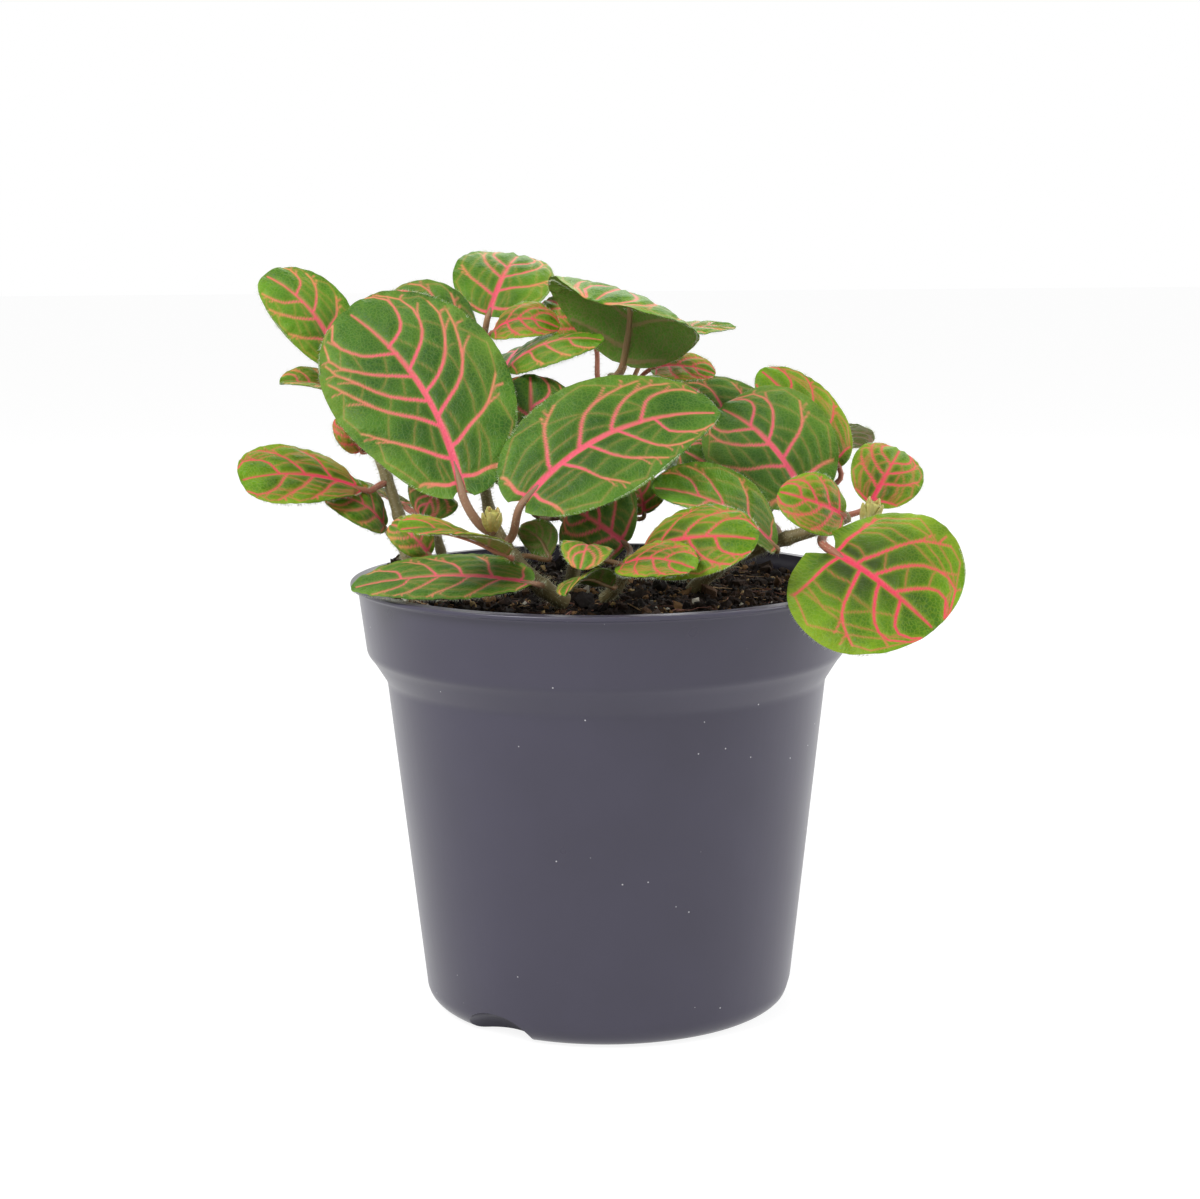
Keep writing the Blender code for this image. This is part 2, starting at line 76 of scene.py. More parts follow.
def mix(tree, share, first, second):
    """The colour between first and second, both hex or sockets, at this share."""
    node = add(tree, "ShaderNodeMix", {0: share}, data_type="RGBA")
    for place, colour in ((6, first), (7, second)):
        if isinstance(colour, str):
            node.inputs[place].default_value = linear(colour)
        else:
            tree.links.new(colour, node.inputs[place])
    return node.outputs[2]


def new_material(name, **constants):
    """A Principled material with its constants on the shader's own sockets."""
    material = bpy.data.materials.new(name)
    material.use_nodes = True
    tree = material.node_tree
    shader = tree.nodes["Principled BSDF"]
    for socket, value in constants.items():
        shader.inputs[socket.replace("_", " ")].default_value = value
    return material, tree, shader


# %% Rings to meshes
def unit(vectors):
    """Each row over its own length."""
    vectors = np.asarray(vectors, float)
    return vectors / np.linalg.norm(vectors, axis=-1, keepdims=True)


def ring_quads(rings, count, first=0):
    """Four corners for each patch between neighbouring closed rings of count points."""
    index = first + np.arange(rings * count).reshape(rings, count)
    after = np.roll(index, -1, axis=1)
    return np.stack([index[:-1], after[:-1], after[1:], index[1:]], axis=-1).reshape(-1, 4)


class Build:
    """Collects points and faces of one piece, with a row of facts and a flat place per point."""

    def __init__(self):
        self.points, self.faces, self.facts, self.flat, self.count = [], [], [], [], 0

    def take(self, points, faces, facts=(0, 0, 0, 0), flat=(0.5, 0.5)):
        """Adds points, and faces that count them from 0: their numbers move up past those so far."""
        points = np.asarray(points, float).reshape(-1, 3)
        self.faces += [face + self.count for face in faces]
        self.points.append(points)
        self.facts.append(np.broadcast_to(np.asarray(facts, float), (len(points), 4)))
        self.flat.append(np.broadcast_to(np.asarray(flat, float), (len(points), 2)))
        self.count += len(points)

    def rings(self, rings, facts=(0, 0, 0, 0), flat=(0.5, 0.5)):
        """A closed surface through rings (n, m, 3), with a flat cap on each end."""
        n, m = rings.shape[:2]
        last = (n - 1) * m
        caps = [np.arange(m)[::-1][None], (last + np.arange(m))[None]]
        self.take(rings, [ring_quads(n, m), *caps], facts, flat)


def finish_piece(build, name, material, node=None, smooth=True):
    """Makes the mesh in metres, at the origin, ties it to the body and hides the node it stands for."""
    points = np.concatenate(build.points) * MM
    mesh = bpy.data.meshes.new(name)
    faces = [row for block in build.faces for row in block.tolist()]
    mesh.from_pydata(points.tolist(), [], faces)
    facts = mesh.attributes.new("facts", "FLOAT_COLOR", "POINT")
    facts.data.foreach_set("color", np.concatenate(build.facts).astype(np.float32).ravel())
    corners = np.empty(len(mesh.loops), np.int32)
    mesh.loops.foreach_get("vertex_index", corners)
    layer = mesh.uv_layers.new(name="flat")
    layer.data.foreach_set("uv", np.concatenate(build.flat)[corners].astype(np.float32).ravel())
    mesh.polygons.foreach_set("use_smooth", np.full(len(mesh.polygons), smooth))
    mesh.update()
    piece = bpy.data.objects.new(name, mesh)
    bpy.context.scene.collection.objects.link(piece)
    mesh.materials.append(material)
    register(piece, node)
    return piece


def register(piece, node):
    """Ties a piece to the body, and hides the model's node that it stands for."""
    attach(piece, "root")
    if node:
        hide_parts(node)


print("white in linear light:", linear("ffffff")[:3])

# %% [markdown]
# ## Noise
# Soil, ripples and colour need unevenness that is the same on every run. Value noise gives it: a
# seeded random number at every lattice point, blended smoothly in between, and summed over a few
# octaves of half the size and half the strength.

# %% Value noise
def lattice(x, y, seed):
    """Numbers between -1 and 1: random at whole x and y, joined by the smoothstep curve."""
    table = np.random.default_rng(seed).uniform(-1, 1, (64, 64))
    x0, y0 = np.floor(x).astype(int), np.floor(y).astype(int)
    fx, fy = x - x0, y - y0
    fx, fy = fx * fx * (3 - 2 * fx), fy * fy * (3 - 2 * fy)
    near = table[x0 % 64, y0 % 64] * (1 - fx) + table[(x0 + 1) % 64, y0 % 64] * fx
    far = table[x0 % 64, (y0 + 1) % 64] * (1 - fx) + table[(x0 + 1) % 64, (y0 + 1) % 64] * fx
    return near * (1 - fy) + far * fy


def rough(x, y, size, seed, octaves=4):
    """Sum of octaves, each half as large and half as strong as the one before."""
    return sum(lattice(x * 2**k / size, y * 2**k / size, seed + k) / 2**k for k in range(octaves))


sample = rough(np.arange(0, 50, 0.5), np.zeros(100), 7, 1)
print("noise along 50 mm runs from", sample.min().round(2), "to", sample.max().round(2))

# %% [markdown]
# ## Hairs
# Nerve plants are downy: stems, stalks and leaf margins carry colourless hairs a millimetre long,
# and they soften every edge against the light. Particle hair would not leave Blender as a mesh, so
# each hair is a three-sided spike, the least that is still a closed solid.

# %% Hairs as arrays
HAIR_RADIUS = 0.03
HAIR_SUNK = 0.1  # mm of its foot below the skin
HAIR_FACTS = (0, 1, 0, 0)


def grow_hairs(build, roots, ways, lengths, facts=HAIR_FACTS):
    """A spike on each root: three points a third of a turn apart round the way, and a tip."""
    ways = unit(ways)
    across = unit(np.cross(ways, [0.31, 0.52, 0.79]))
    over = np.cross(ways, across)
    turn = np.radians([0, 120, 240])
    foot = roots[:, None] - HAIR_SUNK * ways[:, None] + HAIR_RADIUS * (
        across[:, None] * np.cos(turn)[:, None] + over[:, None] * np.sin(turn)[:, None]
    )
    tip = roots + ways * lengths[:, None]
    points = np.concatenate([foot, tip[:, None]], axis=1)
    first = 4 * np.arange(len(roots))[:, None]
    sides = [first + np.array([k, (k + 1) % 3, 3]) for k in range(3)]
    build.take(points, [np.concatenate(sides), first + np.array([2, 1, 0])], facts)


print("a hair is", 2 * HAIR_RADIUS, "mm thick at its foot")


# %% [markdown]
# ## Leaf colours
# A leaf blade is wax over living tissue. The wax gives a soft broad gloss, the tissue lets some
# light in before it comes back, and the down adds a pale sheen at grazing angles. On the upper side
# the veins are salmon pink by the midrib and fade to gold, the tissue is yellow-green where it
# thins beside them and at the margin, and the blade is darker towards the midrib and the base. Old
# leaves are deeper, new ones yellow-green with a crimson net. The underside is paler and greyer.
# The mesh carries four facts per point for this. Red is how much of a vein it is, green how far
# that vein has faded, and blue how pale the tissue is. Alpha rises to a half towards the heart, by
# the midrib and the base, and is one underneath. A hair has green without red, which nothing else has.

# %% Leaf blade
LEAF_COLOURS = {
    # deep, light, beside a vein, vein by the midrib, faded vein, underside, vein beneath, heart
    "dark": ("2f5a17", "4c7a20", "7f9f38", "ec5e76", "da9260", "527c28", "9a7660", "244509"),
    "green": ("3d6c0e", "5c9018", "8cab34", "ec5c72", "de9852", "5e8a2c", "a37e60", "2c520a"),
    "bright": ("3c6806", "6c9c10", "9ab42a", "e84460", "e06e54", "647a28", "ad6e5c", "2a3c04"),
}
FINE_NET = 0.75  # mm between the smallest veins
NET_EDGE, NET_SHARE = 0.16, 0.3  # how wide the smallest veins are drawn, and how pale
PATCH_SIZE, PATCH_LOW, PATCH_HIGH = 9.0, 0.36, 0.66  # mm across a lighter patch, and its contrast
DOWN_COLOUR, SHEEN_COLOUR = "d5dcbc", "dfe8c8"


def leaf_material(age):
    """Waxed leaf tissue: broad soft gloss, colours by the four facts, and relief from the net."""
    deep, light, beside, vein, faded, under, under_vein, heart = LEAF_COLOURS[age]
    material, tree, shader = new_material(
        "fittonia_leaf_" + age,
        Roughness=0.46,
        Specular_IOR_Level=0.2,
        Sheen_Weight=0.02,
        Sheen_Roughness=0.45,
        Subsurface_Weight=0.08,
        Subsurface_Scale=0.001,
    )
    shader.inputs["Sheen Tint"].default_value = linear(SHEEN_COLOUR)
    facts = add(tree, "ShaderNodeAttribute", attribute_name="facts")
    parts = add(tree, "ShaderNodeSeparateColor", {"Color": facts.outputs["Color"]})
    flat = add(tree, "ShaderNodeUVMap", uv_map="flat").outputs["UV"]
    place = add(tree, "ShaderNodeTexCoord").outputs["Object"]
    patches = add(tree, "ShaderNodeTexNoise", {"Vector": place, "Scale": 1 / (PATCH_SIZE * MM)})
    cells = add(
        tree,
        "ShaderNodeTexVoronoi",
        {"Vector": flat, "Scale": 100 / FINE_NET},
        feature="DISTANCE_TO_EDGE",
    )
    net = add(
        tree,
        "ShaderNodeMapRange",
        {"Value": cells.outputs["Distance"], "From Max": NET_EDGE, "To Min": 1.0, "To Max": 0.0},
    ).outputs["Result"]
    faint = add(tree, "ShaderNodeMath", {0: net, 1: NET_SHARE}, operation="MULTIPLY").outputs[0]
    patchy = add(
        tree,
        "ShaderNodeMapRange",
        {"Value": patches.outputs["Fac"], "From Min": PATCH_LOW, "From Max": PATCH_HIGH},
    ).outputs["Result"]
    green = mix(tree, patchy, deep, light)
    inner = add(
        tree, "ShaderNodeMapRange", {"Value": facts.outputs["Alpha"], "From Max": 0.5}
    ).outputs["Result"]
    beneath = add(
        tree, "ShaderNodeMapRange", {"Value": facts.outputs["Alpha"], "From Min": 0.5}
    ).outputs["Result"]
    green = mix(tree, faint, green, beside)
    green = mix(tree, inner, green, heart)
    green = mix(tree, parts.outputs["Blue"], green, beside)
    veins = mix(tree, parts.outputs["Green"], vein, faded)
    upper = mix(tree, parts.outputs["Red"], green, veins)
    below = mix(tree, faint, under, under_vein)
    below = mix(tree, parts.outputs["Red"], below, under_vein)
    colour = mix(tree, beneath, upper, below)
    down = add(
        tree, "ShaderNodeMath", {0: parts.outputs["Green"], 1: parts.outputs["Red"]}, operation="SUBTRACT"
    )
    down = add(tree, "ShaderNodeMath", {0: down.outputs[0], 1: 0.9}, operation="GREATER_THAN")
    colour = mix(tree, down.outputs[0], colour, DOWN_COLOUR)
    tree.links.new(colour, shader.inputs["Base Color"])
    bump = add(
        tree, "ShaderNodeBump", {"Height": net, "Strength": 0.5, "Distance": 0.1 * MM}, invert=True
    )
    tree.links.new(bump.outputs["Normal"], shader.inputs["Normal"])
    return material


leaf_materials = {age: leaf_material(age) for age in LEAF_COLOURS}
print("leaf materials:", ", ".join(leaf_materials))

# %% [markdown]
# ## The planting plan
# A real plant has no drawing, so the plan is a list: for each stem its radius and the points it
# grows through, and for each leaf the stem it sits on, where its blade starts and ends, its width
# and the few things in which it differs from the usual leaf. These are the numbers of the measured
# model, so each grown leaf lies where that model has it.

# %% Stems and leaves, as numbers
STEM_TAPER = 0.75  # radius at the top over radius at the foot

# name: (radius, points from the soil upward)
STEMS = {
    "stem_left": (1.3, [(-40, -6, 90), (-42, -4, 102), (-46, 1, 113), (-51, 4, 127)]),
    "stem_left_low": (0.9, [(-36, -16, 88), (-40, -11, 94), (-43, -7, 100)]),
    "stem_left_back": (1.0, [(-33, 4, 90), (-36, 7, 105), (-34, 8, 122)]),
    "stem_front": (1.8, [(-9, -24, 88), (-16, -26, 94), (-22, -25, 103)]),
    "stem_centre": (1.5, [(-7, 2, 88), (-4, 5, 104), (-1, 9, 119), (2, 12, 130)]),
    "stem_back_left": (1.3, [(-22, 20, 88), (-26, 22, 107), (-28, 20, 124), (-28, 14, 136)]),
    "stem_right": (1.6, [(19, -5, 88), (31, -9, 96), (42, -13, 100), (49, -14, 103)]),
    "stem_back_right": (1.3, [(16, 22, 88), (25, 24, 100), (33, 19, 112)]),
    "stem_low_centre": (1.3, [(0, -22, 88), (3, -25, 92), (5, -26, 97)]),
}

# What a leaf has unless its own line says otherwise. face is the way its upper side looks, bow lifts
# the midrib, sweep bends it to the right, twist turns the blade from base to tip, fold and curl set
# the section's angle at the midrib and its change by the margin, rise and fall shape the outline,
# and lobe draws the base's corners back past the stalk.
USUAL_LEAF = {
    "face": (0, -0.7, 0.7),
    "bow": 3,
    "sweep": 0,
    "twist": 0,
    "fold": 5,
    "curl": -15,
    "rise": 0.5,
    "fall": 0.55,
    "lobe": 0,
}

# name: (colour, stem, place along the stem, base of the blade, its tip, its width, what differs)
LEAVES = {
    "front_big": (
        "dark", "stem_front", 0.95, (-28, -27, 110), (-52, -4, 144), 36,
        dict(face=(0.15, -0.9, 0.45), bow=2, sweep=4, fold=4, curl=-12, fall=0.42, lobe=2),
    ),
    "right_big": (
        "dark", "stem_front", 0.8, (-16, -30, 108), (23, -17, 124), 28,
        dict(face=(-0.2, -0.8, 0.55), bow=2, sweep=-5, fold=4, curl=-10, rise=0.48, fall=0.7, lobe=2),
    ),
    "top_left": (
        "green", "stem_left", 0.95, (-54, 4, 132), (-70, 10, 151), 16,
        dict(face=(0.3, -0.8, 0.5), sweep=1.5, rise=0.45, fall=0.45),
    ),
    "back_dark_top": (
        "dark", "stem_left_back", 0.95, (-31, 7, 131), (-45, 9, 146), 20,
        dict(face=(0.1, -0.8, 0.5), sweep=2),
    ),
    "top_mid": (
        "green", "stem_back_left", 0.97, (-24, 12, 142), (-18, 29, 154), 21,
        dict(face=(0, -0.7, 0.6), rise=0.4, fall=0.4),
    ),
    "mid_top_small": (
        "bright", "stem_back_left", 0.92, (-23, 6, 139), (-9, 2, 140), 12,
        dict(face=(0, -0.6, 0.8)),
    ),
    "crest": (
        "green", "stem_centre", 0.97, (4, 8, 132), (-2, -12, 146), 36,
        dict(face=(0.45, 0.35, 0.85), bow=9, fold=0, curl=-20),
    ),
    "behind_crest": (
        "bright", "stem_centre", 0.93, (-2, 15, 136), (-12, 22, 145), 13,
        dict(face=(0, -0.7, 0.6)),
    ),
    "young_folded": (
        "green", "stem_back_left", 0.8, (-20, 0, 132), (0, -6, 138), 12,
        dict(face=(0, -0.5, 0.9), fold=-15),
    ),
    "right_edge_on": (
        "green", "stem_centre", 0.9, (12, 18, 137), (28, 24, 139), 10,
        dict(face=(0, -0.2, 1), bow=1),
    ),
    "pale_right": (
        "bright", "stem_centre", 0.85, (10, 10, 131), (23, 6, 130), 10,
        dict(face=(0, -0.5, 0.8), bow=1.5),
    ),
    "left_small": (
        "green", "stem_left", 0.85, (-55, 8, 127), (-67, 6, 129), 8,
        dict(face=(0, -0.5, 0.9), fold=30, bow=1),
    ),
    "left_low": (
        "bright", "stem_left", 0.5, (-49, -6, 108), (-73, -14, 111), 18,
        dict(face=(0, -0.6, 0.8), rise=0.7, fall=0.4, sweep=1, bow=2),
    ),
    "left_pink": (
        "green", "stem_left_low", 0.9, (-45, -4, 100), (-57, -8, 107), 12,
        dict(face=(0, -0.6, 0.8)),
    ),
    "soil_left": (
        "dark", "stem_front", 0.3, (-14, -36, 93), (-50, -27, 91), 16,
        dict(face=(0, -0.45, 0.9), sweep=2, bow=1),
    ),
    "front_bright": (
        "bright", "stem_front", 0.65, (-19, -33, 98), (-39, -46, 105), 12,
        dict(face=(0.1, -0.1, 1), twist=40, fold=15, bow=2),
    ),
    "right_round": (
        "dark", "stem_right", 0.75, (40, -6, 107), (24, 6, 123), 27,
        dict(face=(0.1, -0.85, 0.5), sweep=1, lobe=3, rise=0.4, fall=0.45),
    ),
    "right_hanging": (
        "bright", "stem_right", 0.85, (44, -30, 98), (62, -46, 85), 36,
        dict(face=(0.1, -0.85, 0.5), lobe=4, rise=0.4, fall=0.45, bow=2),
    ),
    "right_tip_upper": (
        "bright", "stem_right", 0.97, (53, -13, 105), (60, -4, 115), 15,
        dict(face=(0.1, -0.85, 0.5), rise=0.45, fall=0.4, bow=2),
    ),
    "right_tip_lower": (
        "bright", "stem_right", 0.9, (47, -21, 104), (34, -23, 109), 13,
        dict(face=(0, -0.8, 0.5), sweep=-1, lobe=1),
    ),
    "back_right_bright": (
        "bright", "stem_back_right", 0.9, (49, 10, 110), (33, 20, 130), 16,
        dict(face=(0.2, -0.85, 0.5), sweep=1, bow=1),
    ),
    "back_right_dark": (
        "dark", "stem_back_right", 0.97, (36, 15, 117), (13, 18, 124), 18,
        dict(face=(0, -0.75, 0.6), bow=2),
    ),
    "centre_curl": (
        "green", "stem_right", 0.5, (34, -17, 97), (9, -24, 110), 17,
        dict(face=(0, -0.6, 0.8), curl=25, sweep=1),
    ),
    "centre_front": (
        "bright", "stem_low_centre", 0.95, (7, -30, 98), (29, -42, 102), 18,
        dict(face=(0, -0.75, 0.65), rise=0.45, fall=0.5, curl=-30),
    ),
    "centre_pale": (
        "bright", "stem_low_centre", 0.7, (3, -33, 96), (17, -46, 97), 12,
        dict(face=(0, -0.6, 0.8), bow=2),
    ),
    "centre_under": (
        "green", "stem_low_centre", 0.4, (1, -28, 91), (-8, -38, 91), 10,
        dict(face=(0.3, 0.7, 0.6), curl=-10),
    ),
    "tiny_folded": (
        "green", "stem_low_centre", 0.8, (-3, -28, 98), (-5, -38, 96), 10,
        dict(face=(0, -0.7, 0.7), fall=0.45),
    ),
    "dark_hood": (
        "dark", "stem_low_centre", 0.9, (4, -18, 98), (-7, -15, 105), 20,
        dict(face=(0, -0.9, 0.3)),
    ),
    "olive": (
        "green", "stem_front", 0.6, (-11, -21, 96), (-17, -20, 102), 8,
        dict(face=(0.2, 0.9, 0.3)),
    ),
    "dark_between": (
        "dark", "stem_centre", 0.3, (-15, -13, 107), (-15, -3, 131), 23,
        dict(face=(0.1, -0.9, 0.4)),
    ),
    "dark_small_left": (
        "dark", "stem_left_low", 0.95, (-33, -8, 108), (-37, -12, 103), 11,
        dict(face=(0, -0.9, 0.4)),
    ),
    "dark_right_mid": (
        "dark", "stem_right", 0.55, (33, 0, 101), (16, 0, 115), 22,
        dict(face=(0, -0.8, 0.5)),
    ),
    "left_young": (
        "bright", "stem_left", 0.7, (-50, 2, 115), (-55, 2, 122), 7,
        dict(face=(0, -0.8, 0.5)),
    ),
    "hidden_red": (
        "green", "stem_left_back", 0.6, (-40, 9, 113), (-44, 13, 121), 11,
        dict(face=(0, -0.8, 0.5)),
    ),
    "left_grey": (
        "green", "stem_left_low", 0.5, (-35, -17, 96), (-43, -14, 102), 8,
        dict(face=(0, -0.8, 0.5)),
    ),
    "pale_under": (
        "bright", "stem_centre", 0.2, (-8, -9, 101), (-2, -5, 108), 10,
        dict(face=(0.3, 0.9, 0.2)),
    ),
    "small_mid": (
        "green", "stem_centre", 0.35, (8, -2, 102), (6, -1, 110), 10,
        dict(face=(0, -0.8, 0.5)),
    ),
    "back_a": (
        "green", "stem_back_left", 0.75, (-32, 28, 120), (-50, 42, 126), 24,
        dict(face=(-0.2, 0.6, 0.8)),
    ),
    "back_b": (
        "dark", "stem_back_left", 0.85, (-22, 28, 128), (-12, 48, 134), 26,
        dict(face=(0, 0.6, 0.8)),
    ),
    "back_c": (
        "dark", "stem_back_left", 0.45, (-30, 30, 104), (-44, 49, 104), 25,
        dict(face=(-0.2, 0.6, 0.8)),
    ),
    "back_d": (
        "green", "stem_back_left", 0.5, (-16, 30, 110), (-6, 54, 112), 27,
        dict(face=(0, 0.6, 0.8)),
    ),
    "back_e": (
        "dark", "stem_back_right", 0.6, (22, 31, 106), (26, 54, 108), 27,
        dict(face=(0.1, 0.6, 0.8)),
    ),
    "back_f": (
        "bright", "stem_back_right", 0.8, (38, 26, 110), (58, 37, 112), 24,
        dict(face=(0.3, 0.5, 0.8)),
    ),
    "back_g": (
        "bright", "stem_left_back", 0.4, (-42, 14, 102), (-61, 27, 104), 22,
        dict(face=(-0.3, 0.5, 0.8)),
    ),
    "back_h": (
        "green", "stem_centre", 0.75, (4, 20, 122), (12, 43, 126), 26,
        dict(face=(0.1, 0.6, 0.8)),
    ),
}

# name: (foot, direction, height, radius)
BUDS = {
    "bud_front": ((-22, -31, 102.8), (0.05, -0.35, 1), 5.5, 2.3),
    "bud_right": ((52, -19, 101.5), (0.2, -0.3, 1), 7.0, 2.6),
}


print(len(STEMS), "stems,", len(LEAVES), "leaves,", len(BUDS), "buds")

# %% [markdown]
# ## One leaf
# The midrib is the straight line from base to tip, lifted along the leaf's face by a parabola (bow)
# and pushed sideways by another (sweep). Across it the blade is an arc: it leaves the midrib at the
# fold angle and turns steadily by the curl. Its half width along the midrib is the beta curve
# s^rise (1 - s)^fall, which is a rounded egg when both powers are near a half and a pointed one as
# fall grows. This gives every leaf of the plant, from a flat oval to a curled young one, with no
# drawing.

# %% Paths and outline
def smooth_path(points, along):
    """Points at these shares of a path: the polynomial through its points over their distance."""
    points = np.asarray(points, float)
    steps = np.linalg.norm(np.diff(points, axis=0), axis=1)
    where = np.concatenate([[0], np.cumsum(steps)]) / steps.sum()
    fit = np.polyfit(where, points, len(points) - 1)
    return np.stack([np.polyval(fit[:, axis], along) for axis in range(3)], axis=1)


def outline(s, rise, fall):
    """Half the blade's width at each share s of its length, as a share of its widest."""
    peak = rise / (rise + fall)
    return s**rise * (1 - s) ** fall / (peak**rise * (1 - peak) ** fall)


def blade_frames(leaf, s):
    """Points on the midrib at shares s of its length, with the ways ahead, right and up there."""
    base, tip = np.array(leaf["base"], float), np.array(leaf["tip"], float)
    chord = unit(tip - base)
    face = np.array(leaf["face"], float)
    up = unit(face - (face @ chord) * chord)
    side = np.cross(chord, up)

    def midrib(s):
        """The chord, lifted and pushed aside by the parabola 4 s (1 - s)."""
        arch = (4 * s * (1 - s))[:, None]
        return base + np.outer(s, tip - base) + arch * (leaf["bow"] * up + leaf["sweep"] * side)

    ahead = unit(midrib(s + 0.001) - midrib(s - 0.001))
    right = unit(side - (ahead @ side)[:, None] * ahead)
    above = np.cross(right, ahead)
    turn = np.radians(leaf["twist"]) * (s - 0.5)[:, None]
    return (
        midrib(s),
        ahead,
        right * np.cos(turn) + above * np.sin(turn),
        above * np.cos(turn) - right * np.sin(turn),
    )


def blade_points(leaf, s, across, lift):
    """The blade at shares s along and across (-1 to 1), raised by lift, an (s, across) array of mm."""
    centre, ahead, right, above = blade_frames(leaf, s)
    half = leaf["width"] / 2
    reach = half * outline(s, leaf["rise"], leaf["fall"])[:, None] * np.abs(across)
    fold, rate = math.radians(leaf["fold"]), math.radians(leaf["curl"]) / half
    angle = fold + rate * reach
    sideways = ((np.sin(angle) - math.sin(fold)) / rate - lift * np.sin(angle)) * np.sign(across)
    height = (math.cos(fold) - np.cos(angle)) / rate + lift * np.cos(angle)
    back = leaf["lobe"] * across**2 * ((1 - s) ** 4)[:, None]
    return (
        centre[:, None]
        + right[:, None] * sideways[..., None]
        + above[:, None] * height[..., None]
        - ahead[:, None] * back[..., None]
    )


print("a usual leaf is widest at", round(USUAL_LEAF["rise"] / (USUAL_LEAF["rise"] + USUAL_LEAF["fall"]), 2))

# %% [markdown]
# ## Veins
# A leaf could carry its veins as a texture, but then they would have no relief. Here they are grown
# as lines on the flat blade: a midrib, pairs of side veins that leave it at about 50 degrees and
# bend forward, two forks on each, loops that join neighbours inside the margin, and cross links. The
# distance from each point of the mesh to the nearest line then says how pink it is and how far the
# blade dips, so colour and quilting agree.

# %% Growing vein lines
FULL_WIDTH = 36.0  # mm, the width of leaf that the vein widths below belong to
RIB_WIDTH, SIDE_WIDTH, FORK_WIDTH = 0.85, 0.46, 0.2  # mm, half widths where each vein starts
RIB_END, SIDE_END, FORK_END = 0.2, 0.18, 0.15  # and where it ends, the same on every leaf
RIB_DIP, SIDE_DIP, FORK_DIP, NET_DIP = 0.34, 0.26, 0.16, 0.1  # how far the blade dips over it
STEPS = 9  # points on a side vein


def vein_lines(leaf, length, dice):
    """Rows of (points, half width at start and end, fading at start and end, groove, strength)."""
    half = leaf["width"] / 2
    bright = leaf["age"] == "bright"
    size = math.sqrt(leaf["width"] / FULL_WIDTH)
    pairs = int(round(np.clip(length / (7.2 if bright else 8.6), 4, 7)))
    fade = 0.3 if bright else 0.75
    net = (0.42, 0.16) if bright else (0.2, 0.15)  # strength and half width of the links

    def flat(s, t):
        """Shares along and across to mm on the flat blade: across times the half width there."""
        s = np.clip(s, 0.0, 0.985)
        return np.stack([s * length, t * half * outline(s, leaf["rise"], leaf["fall"])], axis=1)

    rib = np.linspace(0, 0.97, 14)
    straight = flat(rib, np.zeros(len(rib)))
    lines = [(straight, RIB_WIDTH * size, RIB_END, 0.0, 0.55 * fade, RIB_DIP, 1.0)]
    r = np.linspace(0, 1, STEPS)
    for side in (-1, 1):
        courses = []
        for i in range(pairs):
            start = 0.015 + 0.8 * (i + 0.3 * (side > 0) + dice.uniform(-0.1, 0.12)) / pairs
            start = max(start, 0.015)
            forward = min(0.1 + 0.42 * i, 1.0)
            ahead = (1.05 + dice.uniform(-0.12, 0.12)) * forward * half / length * (1 - 0.45 * start)
            s = start + ahead * (0.7 * r + 0.62 * r**2.6) + 0.006 * np.sin(9 * r + 20 * start)
            t = side * ((0.88 + dice.uniform(-0.04, 0.04)) * r**0.94 + 0.012 * np.sin(11 * r + i))
            courses.append((s, t))
            width = SIDE_WIDTH * size * (1 - 0.35 * start)
            lines.append((flat(s, t), width, SIDE_END, 0.0, fade, SIDE_DIP, 1.0))
            for knot, turn, spread in ((5, 0.25, 0.24), (7, 0.04, 0.14)):
                fork_s = s[knot] + ahead * turn * np.array([0, 0.5, 0.8, 1])
                fork_t = t[knot] + side * spread * np.array([0, 0.35, 0.7, 1])
                widths, tints = (FORK_WIDTH * size, FORK_END), (0.4 * fade, fade)
                lines.append((flat(fork_s, fork_t), *widths, *tints, FORK_DIP, 0.85))
        for (s, t), (s2, t2) in zip(courses[:-1], courses[1:]):
            loop_s = np.array([s[-1], 0.5 * s[-1] + 0.5 * s2[7], s2[7]])
            loop_t = np.array([t[-1], side * 0.93, t2[7]])
            faded = (fade, fade + 0.1, NET_DIP)
            lines.append((flat(loop_s, loop_t), FORK_END, FORK_END, *faded, 1.3 * net[0]))
            for share in (3, 5, 6, 7) if bright else (2, 4, 6):
                end = max(share - dice.integers(0, 3), 1)
                bend = dice.uniform(-0.02, 0.02)
                link_s = np.array([s[share], (s[share] + s2[end]) / 2 + bend, s2[end]])
                link_t = np.array([t[share], (t[share] + t2[end]) / 2 - side * bend, t2[end]])
                lines.append((flat(link_s, link_t), net[1], net[1], *faded, net[0]))
    return lines


SOFT_EDGE, HALO, VALLEY = 0.24, 0.55, 0.75  # mm


